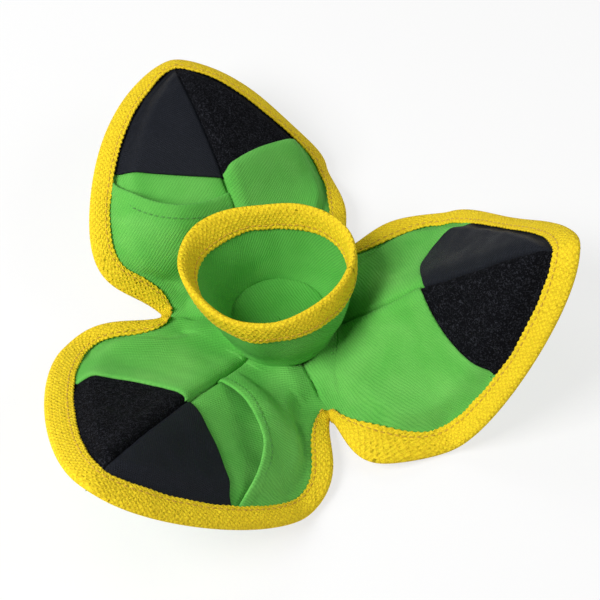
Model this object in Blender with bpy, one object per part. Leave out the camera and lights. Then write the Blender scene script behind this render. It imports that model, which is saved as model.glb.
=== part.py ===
"""Fold-up treat pouch: three padded cloth petals hinged round a small cloth bowl.

Metres, +Z up. The origin is the centre of the flat underside, and petal_a's ridge
points along +X. Each petal is drawn flat first, as p (outward from its hinge line)
and q (sideways, positive on its hook side), and then laid on a curved sheet that
rises along its middle ridge and falls away to both sides.
"""

import math
from dataclasses import dataclass

import bmesh
import bpy
import numpy as np
from mathutils import Vector

# Cloth, tape and the gaps between layers
CANVAS = 0.0008
PILE_PATCH = 0.0010
TAPE = 0.0011
TAPE_WIDTH = 0.0125
LAYER_GAP = 0.00035
TAPE_HALF_GAP = 0.0020
PANEL_MARGIN = 0.0004
WELD = 0.00002
PROBE = 0.0002

# Petal pattern
PETALS = 3
HINGE_RADIUS = 0.031
HINGE_GAP = 0.0003
PETAL_LENGTH = 0.135
HALF_WIDTH = 0.0745
WIDEST_SHARE = 0.285
NOTCH_INSET = 0.0030
NOTCH_LEAVE_ANGLE = 28.0
NOTCH_HANDLE_SHARE = 0.12
WIDEST_ROOT_HANDLE_SHARE = 0.15
WIDEST_TIP_HANDLE_SHARE = 0.25
TIP_HANDLE_SHARE = 0.315
ROOT_STRETCH_SHARE = 0.36
PATCH_START = 0.0535
PATCH_SLANT = 0.40
SEAM_HALF_GAP = 0.0008
TIP_PANEL_WIDTH = 0.0035
NOTCH_TAPE_START = 0.0021
TOP_START = 0.0015
NOTCH_TAPE_HALF_GAP = 0.0010
NOTCH_TAPE_RUN_SHARE = 0.35
TAPE_TURN_SHARE = 0.5
LEAST_FACING_SHARE = 0.2
TAPE_NOSE_SHARES = ((0.9, 1.0), (0.35, 0.72), (0.19, 0.0), (0.35, -0.72), (0.9, -1.0))
SEARCH_STEPS = 50

# Petal padding and curvature
PAD = 0.0048
PAD_MARGIN = 0.0016
PAD_SLOPE = 0.012
PAD_HINGE_SLOPE = 0.009
RIDGE_ROUND = 0.006
FALL_RUN = 0.045
GATHER_AT = 0.030
GATHER_RUN = 0.030

# Pocket mouths
FLAT_GAPE = 0.0
OPEN_GAPE = 0.011
GAPE_START_SHARE = 0.30
GAPE_PEAK_POWER = 1.4
MOUTH_SNAP_SHARE = 0.04

# Root pad under the bowl
ROOT_GAP = 0.0003
NOTCH_TAPE_GAP = 0.0008
BASE_STANDOFF = 0.0004
CORNER_TRIM = 0.0175
COVER_CORNER_TRIM = 0.0045
ROOT_PAD_SLOPE = 0.007
ROOT_EDGE_INSET = 0.0020

# Bowl
BOWL_BASE_RADIUS = 0.0245
BOWL_RIM_RADIUS = 0.0368
BOWL_HEIGHT = 0.038
BOWL_BULGE = 0.0016
BOWL_LEAN = 0.0082
BOWL_LEAN_AZIMUTH = 138.0
BOWL_OVAL = 0.0032
BOWL_OVAL_AZIMUTH = 19.0
BOWL_LOBE = 0.0014
BOWL_LOBE_AZIMUTH = 36.0
RIM_TAPE_WIDTH = 0.0115
RIM_TAPE_HALF_GAP = 0.0017

# Grid lines shared by all layers of a petal, so that neighbours stay parallel
LOWER_ROW_SHARES = (0.0, 0.10, 0.21, 0.33, 0.46, 0.60, 0.74, 0.87, 1.0)
UPPER_ROW_SHARES = (0.0, 0.17, 0.35, 0.53, 0.70, 0.84, 0.94, 1.0)
COLUMN_SHARES = (0.0, 0.05, 0.14, 0.32, 0.58, 0.84, 1.0)
TIP_ROW_SHARES = (0.34, 0.67, 1.0)
NOTCH_TAPE_SHARES = (-1.0, -0.34, 0.34, 1.0)
SIDE_TURN_SHARES = (0.0, 0.36, 0.70, 1.0)
DISC_RING_SHARES = (0.0, 0.5, 1.0)
ROOT_RING_SHARES = (0.0, 0.45, 0.66, 0.80, 0.92, 1.0)
ROOT_PAD_RINGS = 4
PAD_COLUMNS = 5
PAD_ROWS = 12
BOWL_SEGMENTS = 30
BOWL_RINGS = 5


@dataclass(frozen=True)
class Petal:
    """Rest pose of one petal. Angles are in degrees."""

    name: str
    azimuth: float
    pitch: float
    droop: float
    hook_fall: float
    hook_edge_fall: float
    loop_fall: float
    loop_edge_fall: float
    loop_gather_share: float
    sway_share: float
    gape: float
    mouth_inner_share: float
    mouth_outer_share: float
    mouth_sag_share: float


PETAL_SET = (
    Petal("petal_a", 0.0, 46.0, 12.5, 28.0, -7.4, 38.0, -3.0, 0.0, -0.044, FLAT_GAPE, 1.0, 1.0, 0.0),
    Petal("petal_b", 120.0, 55.0, 77.0, 3.0, -1.5, 19.5, 9.0, 0.10, -0.078, OPEN_GAPE, 0.90, 0.97, 0.11),
    Petal("petal_c", 240.0, 29.5, 1.0, 20.5, -1.5, 18.5, -8.6, 0.0, 0.10, OPEN_GAPE, 0.80, 0.97, 0.10),
)

COLOURS = {
    "canvas": ((0.085, 0.42, 0.045), 0.85),
    "canvas_inner": ((0.055, 0.30, 0.040), 0.90),
    "tape": ((0.86, 0.66, 0.02), 0.70),
    "hook": ((0.018, 0.019, 0.024), 0.45),
    "loop": ((0.010, 0.010, 0.012), 0.95),
    "padding": ((0.80, 0.79, 0.75), 0.95),
}


def smooth(value):
    """Ease from 0 to 1 with level ends."""
    value = np.clip(value, 0.0, 1.0)
    return value * value * (3.0 - 2.0 * value)


def material(kind):
    """Principled material of one kind, made once."""
    found = bpy.data.materials.get(kind)
    if found:
        return found
    colour, roughness = COLOURS[kind]
    made = bpy.data.materials.new(kind)
    made.use_nodes = True
    shader = made.node_tree.nodes["Principled BSDF"]
    shader.inputs["Base Color"].default_value = (*colour, 1.0)
    shader.inputs["Roughness"].default_value = roughness
    shader.inputs["Metallic"].default_value = 0.0
    made.diffuse_color = (*colour, 1.0)
    return made


def add_object(name, mesh, kind, parent=None):
    """Link a mesh as a named object."""
    mesh.materials.append(material(kind))
    made = bpy.data.objects.new(name, mesh)
    made.parent = parent
    bpy.context.collection.objects.link(made)
    return made


def half_stack():
    """Half thickness of the folded tape that edges a petal."""
    return TAPE_HALF_GAP + TAPE


def hinge_height():
    """Height of the mid-sheet at the hinge lines, with the tapes just off the floor."""
    return BASE_STANDOFF + half_stack()


def bezier(start, out, back, end, t):
    """Point of a cubic curve, with the points as (p, q) pairs."""
    t = np.asarray(t)[..., None]
    r = 1.0 - t
    return r**3 * start + 3.0 * r * r * t * out + 3.0 * r * t * t * back + t**3 * end


def outline(u):
    """Hook-side outline of the flat petal: the notch at u = 0 and the tip at u = 1."""
    u = np.asarray(u, dtype=float)
    notch = np.array([0.0, HINGE_RADIUS * math.tan(math.pi / PETALS) - NOTCH_INSET])
    leave = math.radians(NOTCH_LEAVE_ANGLE)
    leave_way = np.array([math.cos(leave), math.sin(leave)])
    widest = np.array([WIDEST_SHARE * PETAL_LENGTH, HALF_WIDTH])
    tip = np.array([PETAL_LENGTH, 0.0])
    outward = np.array([PETAL_LENGTH, 0.0])
    root_part = bezier(
        notch,
        notch + leave_way * NOTCH_HANDLE_SHARE * PETAL_LENGTH,
        widest - outward * WIDEST_ROOT_HANDLE_SHARE,
        widest,
        np.clip(u / ROOT_STRETCH_SHARE, 0.0, 1.0),
    )
    tip_part = bezier(
        widest,
        widest + outward * WIDEST_TIP_HANDLE_SHARE,
        tip + np.array([0.0, TIP_HANDLE_SHARE * HALF_WIDTH]),
        tip,
        np.clip((u - ROOT_STRETCH_SHARE) / (1.0 - ROOT_STRETCH_SHARE), 0.0, 1.0),
    )
    return np.where((u < ROOT_STRETCH_SHARE)[..., None], root_part, tip_part)


def inward(u):
    """Unit direction square to the outline, pointing into the petal."""
    step = PROBE / PETAL_LENGTH
    low = np.clip(np.asarray(u) - step, 0.0, 1.0)
    high = np.clip(np.asarray(u) + step, 0.0, 1.0)
    along = outline(high) - outline(low)
    along = along / np.linalg.norm(along, axis=-1, keepdims=True)
    return np.stack([along[..., 1], -along[..., 0]], axis=-1)


def row_slant(u, patch_row):
    """Slope of a grid row: square to the ridge at the hinge, slanted at the patches."""
    return PATCH_SLANT * smooth(np.asarray(u) / patch_row)


def row_start(u, patch_row):
    """Where a grid row meets the ridge."""
    edge = outline(u)
    return edge[..., 0] - row_slant(u, patch_row) * edge[..., 1]


def solve(function, target, low, high):
    """Bisect a rising function."""
    for _ in range(SEARCH_STEPS):
        middle = (low + high) / 2.0
        if function(middle) < target:
            low = middle
        else:
            high = middle
    return (low + high) / 2.0


def find_patch_row():
    """Outline position of the row on which the patches begin."""
    row = ROOT_STRETCH_SHARE
    for _ in range(SEARCH_STEPS):
        row = solve(lambda u, held=row: float(row_start(u, held)), PATCH_START, 0.0, 1.0)
    return row


PATCH_ROW = find_patch_row()


def panel_reach(u):
    """Sideways reach of the layers that stop beside the tape, on the row of u."""
    edge = outline(u)
    slant = row_slant(u, PATCH_ROW)
    length = np.sqrt(1.0 + slant * slant)
    normal = inward(u)
    facing = (-slant * normal[..., 0] - normal[..., 1]) / length
    facing = np.clip(facing, LEAST_FACING_SHARE, 1.0)
    return edge[..., 1] - (TAPE_WIDTH + PANEL_MARGIN) / (facing * length)


def find_last_row():
    """Outline position of the last row that still has room beside the tape."""
    wanted = SEAM_HALF_GAP + TIP_PANEL_WIDTH
    return solve(lambda u: -float(panel_reach(u)), -wanted, PATCH_ROW, 1.0)


def find_cover_tip_row():
    """Outline position of the row that ends the cover just inside the tape's fold."""
    reach = PETAL_LENGTH - TAPE - 2.0 * PANEL_MARGIN
    return solve(lambda u: float(row_start(u, PATCH_ROW)), reach, PATCH_ROW, 1.0)


def find_row_at(reach):
    """Outline position at a distance out from the hinge."""
    return solve(lambda u: float(outline(u)[0]), reach, 0.0, PATCH_ROW)


LAST_ROW = find_last_row()
COVER_TIP_ROW = find_cover_tip_row()
LOWER_ROWS = [share * PATCH_ROW for share in LOWER_ROW_SHARES]
UPPER_ROWS = [PATCH_ROW + share * (LAST_ROW - PATCH_ROW) for share in UPPER_ROW_SHARES]
PANEL_ROWS = LOWER_ROWS + UPPER_ROWS[1:]
PANEL_END_ROW = PATCH_ROW * (1.0 - SEAM_HALF_GAP / PATCH_START)
TOP_ROWS = [find_row_at(TOP_START)] + LOWER_ROWS[1:]
COVER_TIP_ROWS = [LAST_ROW + share * (COVER_TIP_ROW - LAST_ROW) for share in TIP_ROW_SHARES]
TAPE_TIP_ROWS = [LAST_ROW + share * (1.0 - LAST_ROW) for share in TIP_ROW_SHARES]


def lay_out(u, across, start=0.0):
    """Flat position on the row of u; across runs 0 to 1 to the tape and 2 to the edge."""
    across = np.asarray(across, dtype=float)
    reach = np.maximum(panel_reach(u), start)
    edge = outline(u) + inward(u) * (TAPE + PANEL_MARGIN)
    brim = np.maximum(edge[..., 1], reach)
    q = start + (reach - start) * np.clip(across, 0.0, 1.0)
    q = q + (brim - reach) * np.clip(across - 1.0, 0.0, 1.0)
    p = outline(u)[..., 0] - row_slant(u, PATCH_ROW) * (outline(u)[..., 1] - q)
    p = np.where(across > 1.0, p + (edge[..., 0] - p) * (across - 1.0), p)
    return p, q


def puff(u, p, q):
    """Height that the padding gives the cover at a flat position on the row of u."""
    slant = row_slant(u, PATCH_ROW)
    room = (panel_reach(u) - np.abs(q)) * np.sqrt(1.0 + slant * slant) - PAD_MARGIN
    return PAD * smooth(room / PAD_SLOPE) * smooth(p / PAD_HINGE_SLOPE)


def middle(petal, p, q):
    """Point on the petal's mid-sheet, in the frame of its hinge."""
    p = HINGE_GAP + p * (1.0 - HINGE_GAP / PETAL_LENGTH)
    out = p / PETAL_LENGTH
    pitch = math.radians(petal.pitch)
    bow = math.radians(petal.droop) * out / 2.0
    run = p * np.sinc(bow / math.pi)
    slope = pitch - 2.0 * bow
    fall = np.where(q >= 0.0, petal.hook_fall, petal.loop_fall)
    edge_fall = np.where(q >= 0.0, petal.hook_edge_fall, petal.loop_edge_fall)
    fall = np.radians(fall + edge_fall * np.abs(q) / HALF_WIDTH) * smooth(p / FALL_RUN)
    drop = (np.sqrt(q * q + RIDGE_ROUND * RIDGE_ROUND) - RIDGE_ROUND) * np.sin(fall)
    sway = petal.sway_share * HALF_WIDTH * out * out
    gather = np.where(q >= 0.0, 0.0, petal.loop_gather_share) * np.abs(q) / HALF_WIDTH
    narrow = 1.0 - gather * np.exp(-(((p - GATHER_AT) / GATHER_RUN) ** 2))
    x = run * np.cos(pitch - bow) + drop * np.sin(slope)
    z = run * np.sin(pitch - bow) - drop * np.cos(slope)
    return np.stack([x, q * np.cos(fall) * narrow + sway, z], axis=-1)


def raised(petal, p, q, height):
    """Point at a height above the mid-sheet, measured square to it."""
    p = np.asarray(p, dtype=float)
    q = np.asarray(q, dtype=float)
    along = middle(petal, p + PROBE, q) - middle(petal, p - PROBE, q)
    across = middle(petal, p, q + PROBE) - middle(petal, p, q - PROBE)
    normal = np.cross(along, across)
    normal = normal / np.linalg.norm(normal, axis=-1, keepdims=True)
    return middle(petal, p, q) + normal * np.asarray(height)[..., None]


def sheet_mesh(name, points):
    """Triangulated open sheet through a grid of points, built row by row."""
    rows, columns = points.shape[:2]
    mesh = bpy.data.meshes.new(name)
    shape = bmesh.new()
    bmesh.ops.create_grid(shape, x_segments=columns - 1, y_segments=rows - 1, size=1.0)
    shape.verts.ensure_lookup_table()
    for index, vertex in enumerate(shape.verts):
        vertex.co = Vector(points[index // columns, index % columns])
    bmesh.ops.triangulate(shape, faces=shape.faces[:], quad_method="FIXED")
    bmesh.ops.remove_doubles(shape, verts=shape.verts[:], dist=WELD)
    shape.to_mesh(mesh)
    shape.free()
    return mesh


def thicken(thing, thickness):
    """Give a cloth sheet its thickness, half to each side."""
    solid = thing.modifiers.new("thickness", "SOLIDIFY")
    solid.thickness = thickness
    solid.offset = 0.0
    solid.use_even_offset = True
    solid.use_rim = True
    for polygon in thing.data.polygons:
        polygon.use_smooth = True
    return thing


def cloth(name, points, thickness, kind, parent=None):
    """Cloth piece of even thickness through a grid of points."""
    return thicken(add_object(name, sheet_mesh(name, points), kind, parent), thickness)


def closed_between(name, upper, lower, kind, parent=None):
    """Solid between two grids of points, joined round their border."""
    rows, columns = upper.shape[:2]
    mesh = bpy.data.meshes.new(name)
    shape = bmesh.new()
    top = [[shape.verts.new(point) for point in row] for row in upper]
    bottom = [[shape.verts.new(point) for point in row] for row in lower]
    for i in range(rows - 1):
        for j in range(columns - 1):
            a, b, c, d = top[i][j], top[i][j + 1], top[i + 1][j + 1], top[i + 1][j]
            shape.faces.new((a, b, c))
            shape.faces.new((a, c, d))
            a, b, c, d = bottom[i][j], bottom[i][j + 1], bottom[i + 1][j + 1], bottom[i + 1][j]
            shape.faces.new((c, b, a))
            shape.faces.new((d, c, a))
    loops = [edge for edge in shape.edges if edge.is_boundary]
    bmesh.ops.bridge_loops(shape, edges=loops)
    bmesh.ops.recalc_face_normals(shape, faces=shape.faces[:])
    bmesh.ops.triangulate(shape, faces=shape.faces[:], quad_method="FIXED")
    shape.to_mesh(mesh)
    shape.free()
    return add_object(name, mesh, kind, parent)


def signed_columns(shares):
    """Column positions from the loop side's edge to the hook side's."""
    return [-share for share in reversed(shares[1:])] + list(shares)


def layer_grid(petal, rows, columns, height):
    """Grid of points of a layer on both sides; height is a function of u, p and q."""
    u = np.repeat(np.array(rows)[:, None], len(columns), axis=1)
    across = np.repeat(np.array(columns)[None, :], len(rows), axis=0)
    p, q = lay_out(u, np.abs(across))
    return raised(petal, p, np.where(across < 0.0, -q, q), height(u, p, q))


def side_grid(petal, u, side, height):
    """Grid of points of a layer on one side of the ridge; u may vary along a row."""
    across = np.repeat(np.array(COLUMN_SHARES)[None, :], len(u), axis=0)
    u = np.broadcast_to(u, across.shape)
    p, q = lay_out(u, across, SEAM_HALF_GAP)
    return raised(petal, p, side * q, height(u, p, q))[:, ::side]


def top_layer_height(u, p, q):
    """Mid-height of the panels and patches that lie on the cover."""
    return puff(u, p, q) + CANVAS + LAYER_GAP


def make_underside(petal, parent):
    """Canvas skin under the padding, flat and stopping beside the tape."""
    below = -(CANVAS + LAYER_GAP)
    grid = layer_grid(
        petal, PANEL_ROWS, signed_columns(COLUMN_SHARES), lambda u, p, q: below + 0.0 * p
    )
    return cloth(f"{petal.name}_underside", grid, CANVAS, "canvas", parent)


def make_padding(petal, parent):
    """Padding between underside and cover, thinning to its edge."""
    rows = PANEL_ROWS[1:PAD_ROWS]
    columns = signed_columns(COLUMN_SHARES[:PAD_COLUMNS])
    floor = -(CANVAS / 2.0)

    def lid(u, p, q):
        return np.maximum(puff(u, p, q) - CANVAS / 2.0 - LAYER_GAP, floor + LAYER_GAP)

    upper = layer_grid(petal, rows, columns, lid)
    lower = layer_grid(petal, rows, columns, lambda u, p, q: floor + 0.0 * p)
    return closed_between(f"{petal.name}_padding", upper, lower, "padding", parent)


def make_cover(petal, parent):
    """Canvas top skin over the padding, running inside the edge tape."""
    columns = signed_columns(COLUMN_SHARES + (2.0,))
    rows = LOWER_ROWS[:1] + TOP_ROWS + UPPER_ROWS[1:] + COVER_TIP_ROWS
    grid = layer_grid(petal, rows, columns, puff)
    return cloth(f"{petal.name}_cover", grid, CANVAS, "canvas", parent)


def make_loop_panel(petal, parent):
    """Plain canvas panel on the loop side, up to the loop patch."""
    rows = np.array(TOP_ROWS[:-1] + [PANEL_END_ROW])[:, None]
    grid = side_grid(petal, rows, -1, top_layer_height)
    return cloth(f"{petal.name}_loop_side_panel", grid, CANVAS, "canvas", parent)


def make_patch(petal, parent, side, kind):
    """Fastening patch on one side of the petal's end."""
    first = 2.0 * PATCH_ROW - PANEL_END_ROW
    rows = np.array([first] + UPPER_ROWS[1:])[:, None]

    def height(u, p, q):
        return puff(u, p, q) + (CANVAS + PILE_PATCH) / 2.0 + LAYER_GAP

    grid = side_grid(petal, rows, side, height)
    return cloth(f"{petal.name}_{kind}_patch", grid, PILE_PATCH, kind, parent)


def make_pocket(petal, parent):
    """Pocket panel on the hook side, with its mouth toward the petal's end."""
    across = np.array(COLUMN_SHARES)[None, :]
    mouth = petal.mouth_inner_share + (petal.mouth_outer_share - petal.mouth_inner_share) * across
    mouth = mouth - petal.mouth_sag_share * np.sin(math.pi * across)
    mouth_row = mouth * PANEL_END_ROW
    rows = np.array(TOP_ROWS)[:, None]
    rows = np.where(rows > mouth_row - MOUTH_SNAP_SHARE * PATCH_ROW, mouth_row, rows)
    swell = smooth((rows / mouth_row - GAPE_START_SHARE) / (1.0 - GAPE_START_SHARE))
    swell = petal.gape * swell * np.sin(math.pi * across) ** GAPE_PEAK_POWER

    def height(u, p, q):
        return top_layer_height(u, p, q) + swell

    grid = side_grid(petal, rows, 1, height)
    return cloth(f"{petal.name}_pocket", grid, CANVAS, "canvas", parent)


def tape_profile(width, half_gap):
    """Folded tape's mid-line as (inward, height) pairs, from top leg to bottom leg."""
    level = half_gap + TAPE / 2.0
    nose = [(w * level, h * level) for w, h in TAPE_NOSE_SHARES]
    return [(width, level)] + nose + [(width, -level)]


def tape_way(u):
    """Direction across the tape: along the grid row near the hinge, then square to the edge."""
    slant = float(row_slant(u, PATCH_ROW))
    row = np.array([-slant, -1.0])
    row = row / np.linalg.norm(row)
    square = inward(u)
    row = row / float(row @ square)
    turn = float(smooth((u / PATCH_ROW - TAPE_TURN_SHARE) / (1.0 - TAPE_TURN_SHARE)))
    return square * turn + row * (1.0 - turn)


def make_binding(petal, parent):
    """Tape folded over the petal's edge, from one notch round the tip to the other."""
    side = [find_row_at(NOTCH_TAPE_START)] + PANEL_ROWS[1:] + TAPE_TIP_ROWS[:-1]
    stations = [(u, -1.0) for u in side] + [(1.0, 1.0)] + [(u, 1.0) for u in reversed(side)]
    grid = []
    for u, sign in stations:
        opened = smooth(u / PATCH_ROW / NOTCH_TAPE_RUN_SHARE)
        half_gap = NOTCH_TAPE_HALF_GAP + (TAPE_HALF_GAP - NOTCH_TAPE_HALF_GAP) * opened
        profile = tape_profile(TAPE_WIDTH, half_gap)
        flat = [outline(u) + tape_way(u) * w for w, _ in profile]
        p = np.array([point[0] for point in flat])
        q = np.array([point[1] for point in flat]) * sign
        grid.append(raised(petal, p, q, np.array([h for _, h in profile])))
    return cloth(f"{petal.name}_binding", np.array(grid), TAPE, "tape", parent)


def make_petal(petal):
    """All pieces of one petal, under an empty on its hinge line."""
    azimuth = math.radians(petal.azimuth)
    hinge = bpy.data.objects.new(f"{petal.name}_hinge", None)
    hinge.location = (
        HINGE_RADIUS * math.cos(azimuth),
        HINGE_RADIUS * math.sin(azimuth),
        hinge_height(),
    )
    hinge.rotation_euler = (0.0, 0.0, azimuth)
    bpy.context.collection.objects.link(hinge)
    make_underside(petal, hinge)
    make_padding(petal, hinge)
    make_cover(petal, hinge)
    make_loop_panel(petal, hinge)
    make_pocket(petal, hinge)
    make_patch(petal, hinge, 1, "hook")
    make_patch(petal, hinge, -1, "loop")
    make_binding(petal, hinge)


def triangle_reach(azimuth, inset, trim):
    """Distance from the centre to the root triangle's side, with its corners trimmed."""
    sector = 2.0 * math.pi / PETALS
    turn = (azimuth + sector / 2.0) % sector - sector / 2.0
    side = (HINGE_RADIUS - inset) / math.cos(turn)
    corner = HINGE_RADIUS / math.cos(sector / 2.0) - trim
    corner_turn = sector / 2.0 - abs(turn)
    return min(side, corner / math.cos(corner_turn))


def root_azimuths(inset, trim):
    """Azimuths of the root triangle's grid lines, with one on each trimmed corner."""
    sector = 2.0 * math.pi / PETALS
    corner = HINGE_RADIUS / math.cos(sector / 2.0) - trim
    low, high = 0.0, sector / 2.0
    for _ in range(SEARCH_STEPS):
        turn = (low + high) / 2.0
        if (HINGE_RADIUS - inset) / math.cos(turn) < corner / math.cos(sector / 2.0 - turn):
            low = turn
        else:
            high = turn
    half = [share * low for share in SIDE_TURN_SHARES] + [sector / 2.0]
    turns = [-turn for turn in reversed(half[1:-1])] + half
    return [turn + k * sector for k in range(PETALS) for turn in turns]


def root_grid(inset, trim, shares, height):
    """Rings of points over the root triangle, at a height set by the room to its side."""
    turns = root_azimuths(inset, trim)
    turns.append(turns[0])
    rings = []
    for share in shares:
        ring = []
        for turn in turns:
            reach = triangle_reach(turn, inset, trim)
            r = share * reach
            ring.append((r * math.cos(turn), r * math.sin(turn), height(r, turn)))
        rings.append(ring)
    return np.array(rings)


def notch_tape_tip():
    """Distance from the centre to the point of the root's corner tapes."""
    sector = 2.0 * math.pi / PETALS
    return HINGE_RADIUS / math.cos(sector / 2.0) - NOTCH_TAPE_GAP / math.sin(sector / 4.0)


def root_cover_mid(r, turn):
    """Mid-height of the root cover: level with the petals at its sides and corners."""
    sector = 2.0 * math.pi / PETALS
    off_side = (turn + sector / 2.0) % sector - sector / 2.0
    side_room = HINGE_RADIUS - ROOT_GAP - r * math.cos(off_side)
    corner_room = notch_tape_tip() - TAPE_WIDTH - PANEL_MARGIN - r
    swell = smooth(side_room / ROOT_PAD_SLOPE) * smooth(corner_room / ROOT_PAD_SLOPE)
    return hinge_height() + PAD * float(swell)


def disc_between(name, upper, lower, kind):
    """Solid between two ring grids that share their centre and their border."""
    mesh = bpy.data.meshes.new(name)
    shape = bmesh.new()
    for grid, flip in ((upper, False), (lower, True)):
        rows, columns = grid.shape[0], grid.shape[1] - 1
        ring = [[shape.verts.new(grid[i][j]) for j in range(columns)] for i in range(1, rows)]
        hub = shape.verts.new(grid[0][0])
        for j in range(columns):
            k = (j + 1) % columns
            faces = [(hub, ring[0][j], ring[0][k])]
            for i in range(rows - 2):
                faces.append((ring[i][j], ring[i + 1][j], ring[i + 1][k]))
                faces.append((ring[i][j], ring[i + 1][k], ring[i][k]))
            for face in faces:
                shape.faces.new(tuple(reversed(face)) if flip else face)
    bmesh.ops.bridge_loops(shape, edges=[edge for edge in shape.edges if edge.is_boundary])
    bmesh.ops.triangulate(shape, faces=shape.faces[:], quad_method="FIXED")
    bmesh.ops.recalc_face_normals(shape, faces=shape.faces[:])
    shape.to_mesh(mesh)
    shape.free()
    return add_object(name, mesh, kind)


def make_root_underside():
    """Flat canvas base that the pouch rests on."""
    upper = root_grid(ROOT_EDGE_INSET, CORNER_TRIM, DISC_RING_SHARES, lambda r, turn: CANVAS)
    lower = root_grid(ROOT_EDGE_INSET, CORNER_TRIM, DISC_RING_SHARES, lambda r, turn: 0.0)
    return disc_between("base_underside", upper, lower, "canvas")


def make_root_padding():
    """Padding between the base and the cover under the bowl."""
    shares = ROOT_RING_SHARES[:ROOT_PAD_RINGS]
    floor = CANVAS + LAYER_GAP

    def lid(r, turn):
        return root_cover_mid(r, turn) - CANVAS / 2.0 - LAYER_GAP

    upper = root_grid(ROOT_GAP, COVER_CORNER_TRIM, shares, lid)
    lower = root_grid(ROOT_GAP, COVER_CORNER_TRIM, shares, lambda r, turn: floor)
    return disc_between("base_padding", upper, lower, "padding")


def make_root_cover():
    """Canvas top of the root, with corners that run inside the notch tapes."""
    shares = ROOT_RING_SHARES

    def lid(r, turn):
        return root_cover_mid(r, turn) + CANVAS / 2.0

    def under(r, turn):
        return root_cover_mid(r, turn) - CANVAS / 2.0

    upper = root_grid(ROOT_GAP, COVER_CORNER_TRIM, shares, lid)
    lower = root_grid(ROOT_GAP, COVER_CORNER_TRIM, shares, under)
    return disc_between("base_cover", upper, lower, "canvas")


def make_notch_tape(number):
    """Tape folded over one corner of the root, between two petals."""
    sector = 2.0 * math.pi / PETALS
    turn = (number - 0.5) * sector
    tip = notch_tape_tip()
    level = hinge_height()
    profile = tape_profile(TAPE_WIDTH, TAPE_HALF_GAP)
    grid = []
    for w, h in profile:
        r = tip - w
        width = max(w * math.tan(sector / 4.0), TAPE)
        row = []
        for share in NOTCH_TAPE_SHARES:
            x, y = r - TAPE * share * share * (1.0 - w / TAPE_WIDTH), share * width
            row.append((
                x * math.cos(turn) - y * math.sin(turn),
                x * math.sin(turn) + y * math.cos(turn),
                level + h,
            ))
        grid.append(row)
    return cloth(f"notch_binding_{number}", np.array(grid), TAPE, "tape")


def bowl_floor_level():
    """Underside of the bowl's cloth, just above the root cover."""
    return hinge_height() + PAD + CANVAS / 2.0 + LAYER_GAP


def bowl_point(turn, share, offset):
    """Point on the bowl's wall: share 0 at its foot and 1 at its rim, offset outward."""
    lean = math.radians(BOWL_LEAN_AZIMUTH)
    swell = BOWL_LOBE * math.cos(PETALS * (turn - math.radians(BOWL_LOBE_AZIMUTH)))
    swell += BOWL_OVAL * math.cos(2.0 * (turn - math.radians(BOWL_OVAL_AZIMUTH)))
    radius = BOWL_BASE_RADIUS + (BOWL_RIM_RADIUS - BOWL_BASE_RADIUS) * share
    radius += BOWL_BULGE * math.sin(math.pi * share) + swell * share + offset
    shift = BOWL_LEAN * share * share
    return (
        radius * math.cos(turn) + shift * math.cos(lean),
        radius * math.sin(turn) + shift * math.sin(lean),
        bowl_floor_level() + BOWL_HEIGHT * share,
    )


def bowl_turns():
    """Azimuths round the bowl, with the first one again at the end."""
    return [2.0 * math.pi * (k % BOWL_SEGMENTS) / BOWL_SEGMENTS for k in range(BOWL_SEGMENTS + 1)]


def bowl_grid(shares, offset, foot):
    """Rings of points round the bowl, from a foot height up to the rim."""
    heights = [foot + (1.0 - foot) * share for share in shares]
    return np.array([[bowl_point(turn, high, offset) for turn in bowl_turns()] for high in heights])


def make_bowl():
    """Two-ply bowl with a floor and a taped rim."""
    shares = np.linspace(0.0, 1.0, BOWL_RINGS + 1)
    half_ply = (CANVAS + LAYER_GAP) / 2.0
    rise = (CANVAS / 2.0) / BOWL_HEIGHT
    floor_rise = (CANVAS + LAYER_GAP) / BOWL_HEIGHT + rise
    cloth("bowl_wall", bowl_grid(shares, half_ply, rise), CANVAS, "canvas")
    lining_foot = floor_rise + rise
    cloth("bowl_lining", bowl_grid(shares, -half_ply, lining_foot), CANVAS, "canvas_inner")
    make_bowl_floor()
    make_bowl_rim()


def make_bowl_floor():
    """Round cloth floor inside the bowl's foot."""
    radius = BOWL_BASE_RADIUS - CANVAS - LAYER_GAP
    level = bowl_floor_level()
    grids = []
    for z in (level + CANVAS, level):
        rings = []
        for share in DISC_RING_SHARES:
            r = share * radius
            rings.append([(r * math.cos(turn), r * math.sin(turn), z) for turn in bowl_turns()])
        grids.append(np.array(rings))
    return disc_between("bowl_floor", grids[0], grids[1], "canvas_inner")


def make_bowl_rim():
    """Tape folded over the bowl's rim, down both faces."""
    profile = tape_profile(RIM_TAPE_WIDTH, RIM_TAPE_HALF_GAP)
    nose_room = TAPE + PANEL_MARGIN + LAYER_GAP
    rings = []
    for w, h in profile:
        share = 1.0 + (nose_room - w) / BOWL_HEIGHT
        rings.append([bowl_point(turn, share, h) for turn in bowl_turns()])
    return cloth("bowl_rim_binding", np.array(rings), TAPE, "tape")


def build():
    """Clear the scene and make every piece."""
    for thing in list(bpy.data.objects):
        bpy.data.objects.remove(thing, do_unlink=True)
    make_root_underside()
    make_root_padding()
    make_root_cover()
    for number in range(1, PETALS + 1):
        make_notch_tape(number)
    make_bowl()
    for petal in PETAL_SET:
        make_petal(petal)


build()
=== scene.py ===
"""Looks of the fold-up treat pouch: three padded petals round a small cloth bowl.

Metres, +Z up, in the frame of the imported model. Each petal is drawn flat as p, outward
from its hinge line, and q, sideways and positive on its hook side. The flat drawing is
then laid on the petal's curved sheet, which runs on under the bowl as the root's skin.
"""

import logging
import math
from dataclasses import dataclass, field
from enum import Enum
from functools import cached_property
from typing import Callable, Sequence

import bpy
import numpy as np
from mathutils import Matrix, Vector, noise

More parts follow.
